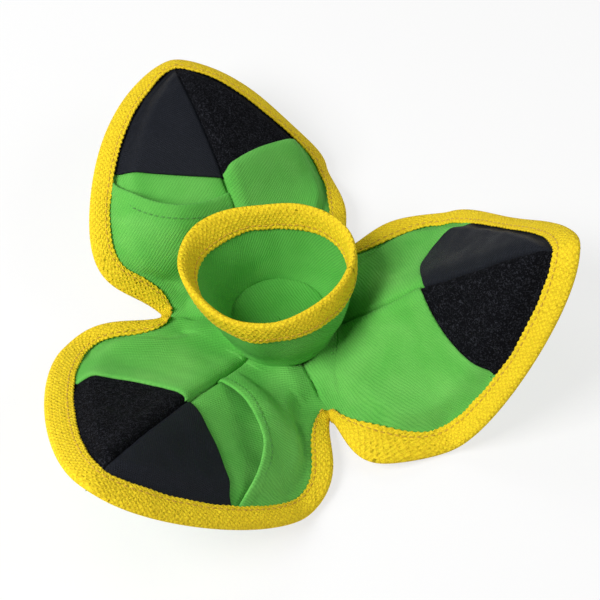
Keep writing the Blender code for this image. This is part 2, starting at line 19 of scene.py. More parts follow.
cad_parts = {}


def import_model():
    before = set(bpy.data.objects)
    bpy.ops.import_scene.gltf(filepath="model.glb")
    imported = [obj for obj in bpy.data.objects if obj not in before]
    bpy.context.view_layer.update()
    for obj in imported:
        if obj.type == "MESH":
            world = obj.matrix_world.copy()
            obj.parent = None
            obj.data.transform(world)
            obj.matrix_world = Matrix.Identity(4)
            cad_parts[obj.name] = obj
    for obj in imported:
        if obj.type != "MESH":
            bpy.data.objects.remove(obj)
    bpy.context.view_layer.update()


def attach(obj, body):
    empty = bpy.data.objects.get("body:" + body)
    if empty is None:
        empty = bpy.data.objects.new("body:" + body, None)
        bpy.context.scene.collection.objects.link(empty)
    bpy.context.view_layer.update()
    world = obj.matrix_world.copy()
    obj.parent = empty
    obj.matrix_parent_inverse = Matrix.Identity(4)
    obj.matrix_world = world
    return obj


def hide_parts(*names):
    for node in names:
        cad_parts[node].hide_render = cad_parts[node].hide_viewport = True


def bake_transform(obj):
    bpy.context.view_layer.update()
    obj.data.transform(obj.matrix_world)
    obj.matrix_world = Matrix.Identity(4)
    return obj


LOG = logging.getLogger("pouch")
PETALS = 3
HALF_SECTOR = math.pi / PETALS
TINY = 1e-12

Colour = tuple[float, float, float]
Place = Callable[[np.ndarray, np.ndarray], np.ndarray]


class Slot(Enum):
    """Material slots of the record."""

    CANVAS = "canvas"
    LINING = "canvas_inner"
    TAPE = "tape"
    HOOK = "hook"
    LOOP = "loop"


class Side(Enum):
    """The two halves of a petal, as the sign of q."""

    HOOK = 1
    LOOP = -1


class Held(Enum):
    """How a sheet of cloth is held."""

    LAID = "laid"
    STRETCHED = "stretched"


# Numbers


def smooth(value: np.ndarray) -> np.ndarray:
    """Ease from 0 to 1 with level ends."""
    value = np.clip(value, 0.0, 1.0)
    return value * value * (3.0 - 2.0 * value)


def bell(value: np.ndarray) -> np.ndarray:
    """Bell curve that is 1 at zero and fades over about one unit."""
    return np.exp(-value * value)


def packed(count: int, crowding_share: float = 0.85) -> np.ndarray:
    """Places from 0 to 1 that lie close together at both ends."""
    places = np.linspace(0.0, 1.0, count)
    return places - crowding_share * np.sin(2.0 * math.pi * places) / (2.0 * math.pi)


def unit(vectors: np.ndarray) -> np.ndarray:
    """Vectors along the last axis, scaled to a length of 1."""
    return vectors / np.maximum(np.linalg.norm(vectors, axis=-1, keepdims=True), TINY)


def run_along(points: np.ndarray) -> np.ndarray:
    """Distance along a path at each of its points."""
    return np.concatenate([[0.0], np.cumsum(np.linalg.norm(np.diff(points, axis=0), axis=1))])


def resample(places: np.ndarray, run: np.ndarray, values: np.ndarray) -> np.ndarray:
    """Rows of values at new places along a run."""
    return np.stack([np.interp(places, run, column) for column in values.T], axis=-1)


def bezier(
    start: np.ndarray, out: np.ndarray, back: np.ndarray, end: np.ndarray, t: np.ndarray
) -> np.ndarray:
    """Point of a cubic curve.

    Args:
        start: First point as (p, q).
        out: Handle after the first point.
        back: Handle before the last point.
        end: Last point.
        t: Places along the curve, from 0 to 1.

    Returns:
        Points with a last axis of two.
    """
    t = np.asarray(t)[..., None]
    r = 1.0 - t
    return r**3 * start + 3.0 * r * r * t * out + 3.0 * r * t * t * back + t**3 * end


def drift(x: np.ndarray, y: np.ndarray, size: float, seed: float) -> np.ndarray:
    """Soft random field over flat cloth.

    Args:
        x: First flat coordinate in metres.
        y: Second flat coordinate in metres.
        size: Width of one undulation in metres.
        seed: Picks the pattern.

    Returns:
        Values from about -1 to 1, in the shape of x.
    """
    gain = 1.6
    x, y = np.broadcast_arrays(x, y)
    pairs = zip(x.ravel(), y.ravel())
    flat = [noise.noise(Vector((a / size, b / size, seed))) for a, b in pairs]
    return np.array(flat).reshape(x.shape) * gain


@dataclass(frozen=True)
class Ramp:
    """Smooth rise from 0 at a start to 1 one run further."""

    start: float
    run: float

    def over(self, distance: np.ndarray) -> np.ndarray:
        """Share of the rise at a distance."""
        return smooth((distance - self.start) / self.run)


@dataclass(frozen=True)
class Roll:
    """Rounded roll across a distance, or a groove where it is taken away."""

    height: float
    width: float
    at: float = 0.0

    def over(self, distance: np.ndarray) -> np.ndarray:
        """Height at a distance."""
        return self.height * bell((distance - self.at) / self.width)


@dataclass(frozen=True)
class Ripple:
    """Soft random relief with features of one size."""

    height: float
    size: float
    seed: float = 0.0

    def over(self, x: np.ndarray, y: np.ndarray, seed: float = 0.0) -> np.ndarray:
        """Height at flat places, for a seed that is added to its own."""
        return self.height * drift(x, y, self.size, seed + self.seed)


# Meshes


def grid_normals(points: np.ndarray, wrap: bool = False) -> np.ndarray:
    """Unit normals of a grid of points.

    Args:
        points: Grid with the shape (rows, columns, 3).
        wrap: True where the last column meets the first.

    Returns:
        Normals in the shape of points.
    """
    if wrap:
        wide = np.concatenate([points[:, -1:], points, points[:, :1]], axis=1)
        across = np.gradient(wide, axis=1)[:, 1:-1]
    else:
        across = np.gradient(points, axis=1)
    along = np.gradient(points, axis=0)
    return unit(np.cross(along, across))


def make_mesh(
    name: str, points: np.ndarray, faces: Sequence[Sequence[int]], flat: np.ndarray
) -> bpy.types.Object:
    """Object from points and faces, with its flat pattern as UV in metres.

    Args:
        name: Name of the object.
        points: Points with the shape (count, 3).
        faces: Vertex indices of each face.
        flat: Flat position of each point, with the shape (count, 2).

    Returns:
        The new object, smooth shaded.
    """
    mesh = bpy.data.meshes.new(name)
    mesh.from_pydata(points.tolist(), [], [list(face) for face in faces])
    mesh.update()
    layer = mesh.uv_layers.new(name="flat")
    corners = np.zeros(len(mesh.loops), dtype=np.int32)
    mesh.loops.foreach_get("vertex_index", corners)
    layer.data.foreach_set("uv", flat[corners].astype(np.float32).ravel())
    mesh.polygons.foreach_set("use_smooth", np.ones(len(mesh.polygons), dtype=bool))
    made = bpy.data.objects.new(name, mesh)
    bpy.context.collection.objects.link(made)
    return made


def grid_faces(rows: int, columns: int, wrap: bool, first: int, flip: bool) -> list[tuple[int, ...]]:
    """Quads of a grid of vertices.

    Args:
        rows: Number of rows.
        columns: Number of columns.
        wrap: True where the last column meets the first.
        first: Index of the first vertex.
        flip: True to turn the faces over.

    Returns:
        One tuple of four indices for each quad.
    """
    faces = []
    last = columns if wrap else columns - 1
    for i in range(rows - 1):
        for j in range(last):
            k = (j + 1) % columns
            a, b = first + i * columns + j, first + i * columns + k
            c, d = first + (i + 1) * columns + k, first + (i + 1) * columns + j
            faces.append((a, b, c, d) if flip else (d, c, b, a))
    return faces


def cloth(
    name: str,
    points: np.ndarray,
    flat: np.ndarray,
    thickness: float | np.ndarray,
    wrap: bool = False,
    held: Held | None = None,
    rests_on: Sequence[str] = (),
) -> bpy.types.Object:
    """Cloth piece with two faces and a rounded border.

    Args:
        name: Name of the object.
        points: Mid-surface grid with the shape (rows, columns, 3).
        flat: Flat pattern grid with the shape (rows, columns, 2).
        thickness: Thickness of the cloth, one value or a grid.
        wrap: True where the last column meets the first.
        held: Not used.
        rests_on: Not used.

    Returns:
        The new object.
    """
    border_share = 0.9
    rows, columns = points.shape[:2]
    half = np.broadcast_to(np.asarray(thickness, dtype=float), (rows, columns))[..., None] / 2.0
    normals = grid_normals(points, wrap)
    top, bottom = points + normals * half, points - normals * half
    index = np.arange(rows * columns).reshape(rows, columns)
    if wrap:
        borders = [index[0], index[-1][::-1]]
    else:
        ring = [index[0, :], index[1:, -1], index[-1, -2::-1], index[-2:0:-1, 0]]
        borders = [np.concatenate(ring)]
    count = rows * columns
    vertices = [top.reshape(-1, 3), bottom.reshape(-1, 3)]
    flats = [flat.reshape(-1, 2), flat.reshape(-1, 2)]
    faces = grid_faces(rows, columns, wrap, 0, False)
    faces += grid_faces(rows, columns, wrap, count, True)
    middle = points.reshape(-1, 3)
    thick = half.reshape(-1, 1)
    first = 2 * count
    for ring in borders:
        out = unit(middle[ring] - middle[inner_neighbour(index, ring, wrap)])
        vertices.append(middle[ring] + out * thick[ring] * border_share)
        flats.append(flat.reshape(-1, 2)[ring])
        size = len(ring)
        for i in range(size):
            j = (i + 1) % size
            a, b = int(ring[i]), int(ring[j])
            faces.append((a, b, first + j, first + i))
            faces.append((first + i, first + j, count + b, count + a))
        first += size
    made = make_mesh(name, np.concatenate(vertices), faces, np.concatenate(flats))
    return made


def inner_neighbour(index: np.ndarray, ring: np.ndarray, wrap: bool) -> np.ndarray:
    """Grid vertex just inside each border vertex.

    Args:
        index: Grid of vertex indices.
        ring: Border vertices.
        wrap: True where the last column meets the first.

    Returns:
        One vertex index for each border vertex.
    """
    rows, columns = index.shape
    i, j = ring // columns, ring % columns
    i = np.clip(i, 1, rows - 2)
    if not wrap:
        j = np.clip(j, 1, columns - 2)
    return index[i, j]


def tube(name: str, points: np.ndarray, flat: np.ndarray, closed: bool) -> bpy.types.Object:
    """Closed skin swept along stations, such as a folded tape.

    Args:
        name: Name of the object.
        points: Grid with one row for each station and a closed section in each row.
        flat: Flat position of each point.
        closed: True where the last station meets the first.

    Returns:
        The new object.
    """
    rows, columns = points.shape[:2]
    faces = grid_faces(rows, columns, True, 0, True)
    if closed:
        for j in range(columns):
            k = (j + 1) % columns
            a, b = (rows - 1) * columns + j, (rows - 1) * columns + k
            faces.append((a, b, k, j))
    else:
        faces.append(tuple(range(columns)))
        faces.append(tuple(reversed(range((rows - 1) * columns, rows * columns))))
    return make_mesh(name, points.reshape(-1, 3), faces, flat.reshape(-1, 2))


@dataclass(frozen=True)
class Stitch:
    """One kind of visible stitch, as a small rounded bar of thread."""

    length: float = 0.0024
    width: float = 0.0009
    pitch: float = 0.0034
    probe: float = 0.0004
    sides: int = 6
    place_shares: tuple[float, ...] = (-0.5, -0.42, -0.15, 0.15, 0.42, 0.5)
    swell_shares: tuple[float, ...] = (0.25, 0.8, 1.0, 1.0, 0.8, 0.25)
    dip_share: float = 0.8

    def bar(self) -> tuple[np.ndarray, np.ndarray]:
        """One stitch, in shares of its length and of its half width.

        Returns:
            The points as (along, side, up) and their flat places.
        """
        section, flat = [], []
        for place, swell in zip(self.place_shares, self.swell_shares):
            dip = -self.dip_share * place * place
            for angle in np.linspace(0.0, 2.0 * math.pi, self.sides, endpoint=False):
                section.append((place, math.cos(angle) * swell, math.sin(angle) * swell + dip))
                flat.append((place * self.length, angle * self.width / 2.0))
        return np.array(section), np.array(flat)

    def row(self, name: str, path: np.ndarray, normals: np.ndarray) -> bpy.types.Object:
        """Row of stitches along a path.

        Args:
            name: Name of the object.
            path: Points of the seam line, in order.
            normals: Direction out of the cloth at each point.

        Returns:
            One object that holds every stitch of the row.
        """
        run = run_along(path)
        count = max(int(run[-1] / self.pitch), 1)
        places = (np.arange(count) + 0.5) * run[-1] / count
        centre = resample(places, run, path)
        ahead, behind = resample(places + self.probe, run, path), resample(places - self.probe, run, path)
        along = unit(ahead - behind)
        side = unit(np.cross(resample(places, run, normals), along))
        up = np.cross(along, side)
        section, section_flat = self.bar()
        half = self.width / 2.0
        points = (
            centre[:, None, :]
            + section[None, :, 0:1] * self.length * along[:, None, :]
            + section[None, :, 1:2] * half * side[:, None, :]
            + section[None, :, 2:3] * half * up[:, None, :]
        )
        faces = []
        for k in range(count):
            faces += grid_faces(len(self.place_shares), self.sides, True, k * len(section), True)
        flat = np.tile(section_flat, (count, 1))
        return make_mesh(name, points.reshape(-1, 3), faces, flat)


# Finishes


class Nodes:
    """Short way to add shader nodes to one material."""

    def __init__(self, name: str) -> None:
        """Start an empty node material with the given name.

        Args:
            name: Name of the material.
        """
        self.material = bpy.data.materials.new(name)
        self.material.use_nodes = True
        self.tree = self.material.node_tree
        self.shader = self.tree.nodes["Principled BSDF"]

    def add(self, kind: str, **values: object) -> bpy.types.Node:
        """Add a node and set its properties.

        Args:
            kind: Type of the node.
            values: Properties of the node.

        Returns:
            The new node.
        """
        node = self.tree.nodes.new(kind)
        for key, value in values.items():
            setattr(node, key, value)
        return node

    def plug(self, source: object, target: bpy.types.NodeSocket) -> None:
        """Link a socket to an input, or set the input to a plain value.

        Args:
            source: Socket or plain value.
            target: Input that takes it.
        """
        if isinstance(source, bpy.types.NodeSocket):
            self.tree.links.new(source, target)
        else:
            target.default_value = source

    def math(self, operation: str, a: object, b: object = 0.0) -> bpy.types.NodeSocket:
        """Math node on one or two values.

        Args:
            operation: Name of the operation.
            a: First value.
            b: Second value.

        Returns:
            The result.
        """
        node = self.add("ShaderNodeMath", operation=operation)
        for source, target in zip((a, b), node.inputs):
            self.plug(source, target)
        return node.outputs[0]

    def plus(self, a: object, b: object) -> bpy.types.NodeSocket:
        """Sum of two values."""
        return self.math("ADD", a, b)

    def times(self, a: object, b: object) -> bpy.types.NodeSocket:
        """Product of two values."""
        return self.math("MULTIPLY", a, b)

    def flat(self) -> tuple[bpy.types.NodeSocket, bpy.types.NodeSocket]:
        """The two flat pattern coordinates in metres.

        Returns:
            The coordinates p and q of a petal, or the two of another pattern.
        """
        source = self.add("ShaderNodeUVMap", uv_map="flat")
        parts = self.add("ShaderNodeSeparateXYZ")
        self.plug(source.outputs[0], parts.inputs[0])
        return parts.outputs[0], parts.outputs[1]

    def place(self) -> bpy.types.NodeSocket:
        """Position on the piece itself, in metres."""
        return self.add("ShaderNodeTexCoord").outputs["Object"]

    def noise(self, scale: float, detail: float = 3.0, twist: float = 0.0) -> bpy.types.NodeSocket:
        """Noise value from 0 to 1 over the piece.

        Args:
            scale: Features for each metre.
            detail: Octaves.
            twist: Distortion.

        Returns:
            The value.
        """
        node = self.add("ShaderNodeTexNoise")
        self.plug(self.place(), node.inputs["Vector"])
        node.inputs["Scale"].default_value = scale
        node.inputs["Detail"].default_value = detail
        node.inputs["Distortion"].default_value = twist
        return node.outputs[0]

    def wave(self, x: object, y: object, across: float, along: float) -> bpy.types.NodeSocket:
        """Sine wave over the flat cloth.

        Args:
            x: First flat coordinate.
            y: Second flat coordinate.
            across: Waves for each metre of x.
            along: Waves for each metre of y.

        Returns:
            Values from -1 to 1.
        """
        turn = 2.0 * math.pi
        return self.math("SINE", self.plus(self.times(x, across * turn), self.times(y, along * turn)))

    def stray(self, scale: float, reach: float) -> bpy.types.NodeSocket:
        """Small random shift for a flat coordinate, in metres."""
        return self.times(self.math("SUBTRACT", self.noise(scale, 2.0), 0.5), reach)

    def span(
        self, value: object, low: float, high: float, start: float = 0.0, end: float = 1.0
    ) -> bpy.types.NodeSocket:
        """Map a value from low..high to start..end, held at the ends.

        Args:
            value: Value to map.
            low: Value that gives start.
            high: Value that gives end.
            start: First result.
            end: Last result.

        Returns:
            The mapped value.
        """
        node = self.add("ShaderNodeMapRange", clamp=True)
        for source, target in zip((value, low, high, start, end), node.inputs):
            self.plug(source, target)
        return node.outputs[0]

    def blend(self, factor: object, a: object, b: object) -> bpy.types.NodeSocket:
        """Mix two colours by a factor.

        Args:
            factor: Share of the second colour.
            a: First colour.
            b: Second colour.

        Returns:
            The mixed colour.
        """
        node = self.add("ShaderNodeMix", data_type="RGBA")
        self.plug(factor, node.inputs[0])
        for source, target in ((a, node.inputs[6]), (b, node.inputs[7])):
            self.plug((*source, 1.0) if isinstance(source, tuple) else source, target)
        return node.outputs[2]

    def bump(self, height: object, depth: float) -> None:
        """Give the shader a bump from a height of 0 to 1 times depth.

        Args:
            height: Height from 0 to 1.
            depth: Metres that a height of 1 stands for.
        """
        node = self.add("ShaderNodeBump")
        node.inputs["Strength"].default_value = 1.0
        node.inputs["Distance"].default_value = depth
        self.plug(height, node.inputs["Height"])
        self.plug(node.outputs[0], self.shader.inputs["Normal"])

    def finish(self, colour: object, roughness: object, sheen: float, gloss: float) -> bpy.types.Material:
        """Plug the colour and roughness in and set the constant values.

        Args:
            colour: Base colour.
            roughness: Roughness.
            sheen: Weight of the sheen.
            gloss: Specular level.

        Returns:
            The finished material.
        """
        self.plug(colour, self.shader.inputs["Base Color"])
        self.plug(roughness, self.shader.inputs["Roughness"])
        self.shader.inputs["Metallic"].default_value = 0.0
        self.shader.inputs["Specular IOR Level"].default_value = gloss
        self.shader.inputs["Sheen Weight"].default_value = sheen
        self.shader.inputs["Sheen Roughness"].default_value = 0.6
        return self.material


@dataclass(frozen=True)
class CanvasFinish:
    """Twill canvas: diagonal ribs, uneven dye, a little lint and painted shade in the weave's valleys."""

    name: str
    colour: Colour
    valley_shade: Colour
    faded: Colour
    rib_pitch: float = 0.00125
    rib_way: tuple[float, float] = (0.80, 0.60)
    rib_share: float = 0.62
    thread_pitch: float = 0.00075
    thread_way: tuple[float, float] = (-0.45, 0.89)
    thread_share: float = 0.38
    stray_scale: float = 160.0
    stray_share: float = 1.6
    slub_scale: float = 1500.0
    slub_share: float = 0.7
    dye_scale: float = 38.0
    dye_share: float = 0.75
    valley_shade_share: float = 0.38
    speck_scale: float = 2400.0
    speck_share: float = 0.50
    depth: float = 0.00018
    smoothest: float = 0.82
    roughest: float = 0.96
    sheen: float = 0.03
    gloss: float = 0.1

    def build(self) -> bpy.types.Material:
        """Make the material.

        Returns:
            The node material of the canvas.
        """
        kit = Nodes(self.name)
        x, y = kit.flat()
        x = kit.plus(x, kit.stray(self.stray_scale, self.rib_pitch * self.stray_share))
        rib = kit.wave(x, y, *[way / self.rib_pitch for way in self.rib_way])
        thread = kit.wave(x, y, *[way / self.thread_pitch for way in self.thread_way])
        weave = kit.plus(kit.times(rib, self.rib_share), kit.times(thread, self.thread_share))
        slub = kit.noise(self.slub_scale, 3.0)
        kit.bump(kit.plus(kit.span(weave, -1.0, 1.0), kit.times(slub, self.slub_share)), self.depth)
        dye = kit.noise(self.dye_scale, 4.0, 0.6)
        tone = kit.blend(kit.span(dye, 0.35, 0.72, end=self.dye_share), self.colour, self.faded)
        # Painted shade: the low parts of the weave are mixed toward the darker valley colour.
        tone = kit.blend(kit.span(weave, 0.1, -0.9, end=self.valley_shade_share), tone, self.valley_shade)
        speck = kit.noise(self.speck_scale, 2.0)
        tone = kit.blend(kit.span(speck, 0.56, 0.74, end=self.speck_share), tone, self.faded)
        rough = kit.span(slub, 0.2, 0.8, self.smoothest, self.roughest)
        return kit.finish(tone, rough, self.sheen, self.gloss)


@dataclass(frozen=True)
class TapeFinish:
    """Basket-woven webbing tape: raised crowns, painted shade in the gaps between them and uneven dye."""

    name: str
    colour: Colour
    valley_shade: Colour
    worn: Colour
    block: float = 0.0026
    depth: float = 0.00036
    stray_scale: float = 420.0
    stray_share: float = 1.2
    crown_share: float = 0.75
    yarn_share: float = 0.14
    fuzz_scale: float = 1700.0
    fuzz_share: float = 0.5
    valley_shade_share: float = 0.38
    gap_shade_share: float = 0.5
    worn_scale: float = 55.0
    worn_share: float = 0.35
    smoothest: float = 0.70
    roughest: float = 0.90
    gloss: float = 0.12

    def build(self) -> bpy.types.Material:
        """Make the material.

        Returns:
            The node material of the tape.
        """
        kit = Nodes(self.name)
        s, v = kit.flat()
        s = kit.plus(s, kit.stray(self.stray_scale, self.block * self.stray_share))
        half_wave, yarn_wave = 0.5 / self.block, 2.0 / self.block
        basket = kit.times(kit.wave(s, v, half_wave, half_wave), kit.wave(s, v, half_wave, -half_wave))
        over = kit.span(basket, -0.08, 0.08)
        warp = kit.times(kit.wave(s, v, yarn_wave, 0.0), over)
        weft = kit.times(kit.wave(s, v, 0.0, yarn_wave), kit.math("SUBTRACT", 1.0, over))
        yarn = kit.plus(warp, weft)
        crown = kit.math("ABSOLUTE", basket)
        fuzz = kit.noise(self.fuzz_scale, 3.0)
        height = kit.plus(kit.times(crown, self.crown_share), kit.times(yarn, self.yarn_share))
        kit.bump(kit.plus(height, kit.times(fuzz, self.fuzz_share)), self.depth)
        # Painted shade: the gaps between the crowns and the low spots of the fuzz are mixed toward the
        # darker valley colour.
        shade = kit.blend(kit.span(crown, 0.42, 0.0, end=self.valley_shade_share), self.colour, self.valley_shade)
        shade = kit.blend(kit.span(fuzz, 0.52, 0.34, end=self.gap_shade_share), shade, self.valley_shade)
        blotch = kit.noise(self.worn_scale, 4.0, 0.4)
        shade = kit.blend(kit.span(blotch, 0.45, 0.75, end=self.worn_share), shade, self.worn)
        rough = kit.span(fuzz, 0.2, 0.8, self.smoothest, self.roughest)
        return kit.finish(shade, rough, 0.0, self.gloss)


@dataclass(frozen=True)
class HookFinish:
    """Woven hook patch: fine ribs with a faint gloss from the hooks, painted sheen in soft clouds,
    painted glints as small specks and painted shade in the gaps.
    """

    name: str
    colour: Colour
    # Lighter colour of the painted sheen; the painted glints are brighter still.
    glint: Colour
    # Near-black colour of the painted shade in the gaps.
    gap: Colour = (0.002, 0.002, 0.003)
    rib_pitch: float = 0.0013
    rib_way: tuple[float, float] = (0.35, 0.94)
    stub_pitch: float = 0.0011
    weave_share: float = 0.4
    grain_scale: float = 2200.0
    grain_weight: float = 2.0
    cloud_scale: float = 70.0
    cloud_share: float = 0.8
    gap_shade_share: float = 0.75
    spark_share: float = 0.8
    spark_gain: float = 2.8
    depth: float = 0.0003
    smoothest: float = 0.54
    roughest: float = 0.70
    gloss: float = 0.16

    def build(self) -> bpy.types.Material:
        """Make the material.

        Returns:
            The node material of the hook patch.
        """
        kit = Nodes(self.name)
        x, y = kit.flat()
        rib = kit.wave(x, y, *[way / self.rib_pitch for way in self.rib_way])
        weave = kit.times(rib, kit.wave(x, y, 1.0 / self.stub_pitch, 0.0))
        grain = kit.noise(self.grain_scale, 2.0)
        kit.bump(kit.plus(kit.times(weave, self.weave_share), grain), self.depth)
        cloud = kit.noise(self.cloud_scale, 4.0, 0.8)
        # Painted sheen: soft random clouds mixed toward the glint colour.
        tone = kit.blend(kit.span(cloud, 0.35, 0.75, end=self.cloud_share), self.colour, self.glint)
        # Painted shade: the low parts of the weave and grain are mixed toward the gap colour.
        depth = kit.plus(weave, kit.times(grain, self.grain_weight))
        tone = kit.blend(kit.span(depth, 0.8, -0.2, end=self.gap_shade_share), tone, self.gap)
        # Painted glints: small bright specks where the grain is high.
        spark = tuple(self.spark_gain * part for part in self.glint)
        tone = kit.blend(kit.span(grain, 0.60, 0.78, end=self.spark_share), tone, spark)
        rough = kit.span(cloud, 0.3, 0.7, self.smoothest, self.roughest)
        return kit.finish(tone, rough, 0.0, self.gloss)


@dataclass(frozen=True)
class LoopFinish:
    """Knitted loop pile: black curls with lighter lint and painted highlights on their crowns."""

    name: str
    colour: Colour
    lint_and_highlight: Colour
    curl_scale: float = 640.0
    fine_scale: float = 1500.0
    fine_share: float = 0.6
    depth: float = 0.0005
    roughness: float = 0.95
    gloss: float = 0.06

    def build(self) -> bpy.types.Material:
        """Make the material.

        Returns:
            The node material of the loop patch.
        """
        kit = Nodes(self.name)
        fine = kit.noise(self.fine_scale, 2.0, 1.4)
        crown = kit.span(kit.noise(self.curl_scale, 1.5, 2.4), 0.47, 0.60)
        kit.bump(kit.plus(crown, kit.times(fine, self.fine_share)), self.depth)
        # Lighter lint and painted highlights on the crowns of the curls.
        lift = kit.times(kit.span(crown, 0.15, 0.9), kit.span(fine, 0.34, 0.62))
        return kit.finish(kit.blend(lift, self.colour, self.lint_and_highlight), self.roughness, 0.0, self.gloss)


@dataclass(frozen=True)
class ThreadFinish:
    """Twisted sewing thread, with painted shade in the grooves of its twist."""

    name: str
    colour: Colour
    # Darker thread colour: painted shade in the twist's grooves, and random dye variation.
    shade: Colour
    twist_pitch: float = 0.0007
    twist_share: float = 0.6
    dye_scale: float = 300.0
    dye_share: float = 0.4
    depth: float = 0.0001
    roughness: float = 0.6
    sheen: float = 0.1
    gloss: float = 0.4

    def build(self) -> bpy.types.Material:
        """Make the material.

        Returns:
            The node material of the thread.
        """
        kit = Nodes(self.name)
        x, y = kit.flat()
        twist = kit.wave(x, y, 1.0 / self.twist_pitch, 1.0 / self.twist_pitch)
        kit.bump(kit.span(twist, -1.0, 1.0), self.depth)
        # Painted shade in the grooves of the twist.
        tone = kit.blend(kit.span(twist, 0.4, -0.9, end=self.twist_share), self.colour, self.shade)
        # Random dye variation toward the same darker colour.
        dye = kit.noise(self.dye_scale, 2.0)
        tone = kit.blend(kit.span(dye, 0.4, 0.7, end=self.dye_share), tone, self.shade)
        return kit.finish(tone, self.roughness, self.sheen, self.gloss)


@dataclass
class FinishSet:
    """Every finish of the pouch, made once."""

    canvas: bpy.types.Material = field(init=False)
    # Darker copy of the canvas: painted shade inside the bowl.
    shaded_lining: bpy.types.Material = field(init=False)
    tape: bpy.types.Material = field(init=False)
    hook: bpy.types.Material = field(init=False)
    loop: bpy.types.Material = field(init=False)
    tape_thread: bpy.types.Material = field(init=False)
    canvas_thread: bpy.types.Material = field(init=False)

    def __post_init__(self) -> None:
        """Build the materials."""
        self.canvas = CanvasFinish(
            "canvas_green",
            colour=(0.112, 0.475, 0.070),
            valley_shade=(0.038, 0.250, 0.034),
            faded=(0.195, 0.590, 0.118),
        ).build()
        # Painted shade: the same canvas made darker for the inside of the bowl.
        self.shaded_lining = CanvasFinish(
            "canvas_lining_painted_shade",
            colour=(0.084, 0.420, 0.056),
            valley_shade=(0.030, 0.210, 0.030),
            faded=(0.130, 0.500, 0.085),
        ).build()
        self.tape = TapeFinish(
            "tape_yellow",
            colour=(0.960, 0.735, 0.023),
            valley_shade=(0.640, 0.340, 0.012),
            worn=(0.890, 0.600, 0.016),
        ).build()
        self.hook = HookFinish(
            "hook_charcoal", colour=(0.0076, 0.0096, 0.0150), glint=(0.0122, 0.0142, 0.0205)
        ).build()
        self.loop = LoopFinish(
            "loop_black", colour=(0.0042, 0.0045, 0.0060), lint_and_highlight=(0.036, 0.038, 0.047)
        ).build()
        self.tape_thread = ThreadFinish(
            "thread_yellow", colour=(0.80, 0.52, 0.014), shade=(0.50, 0.26, 0.010)
        ).build()
        self.canvas_thread = ThreadFinish(
            "thread_green", colour=(0.100, 0.400, 0.060), shade=(0.040, 0.200, 0.030)
        ).build()


def dress(piece: bpy.types.Object, finish: bpy.types.Material) -> bpy.types.Object:
    """Give a piece its finish.

    Args:
        piece: The piece.
        finish: Its material.

    Returns:
        The same piece.
    """
    piece.data.materials.append(finish)
    return piece


# Petal pattern


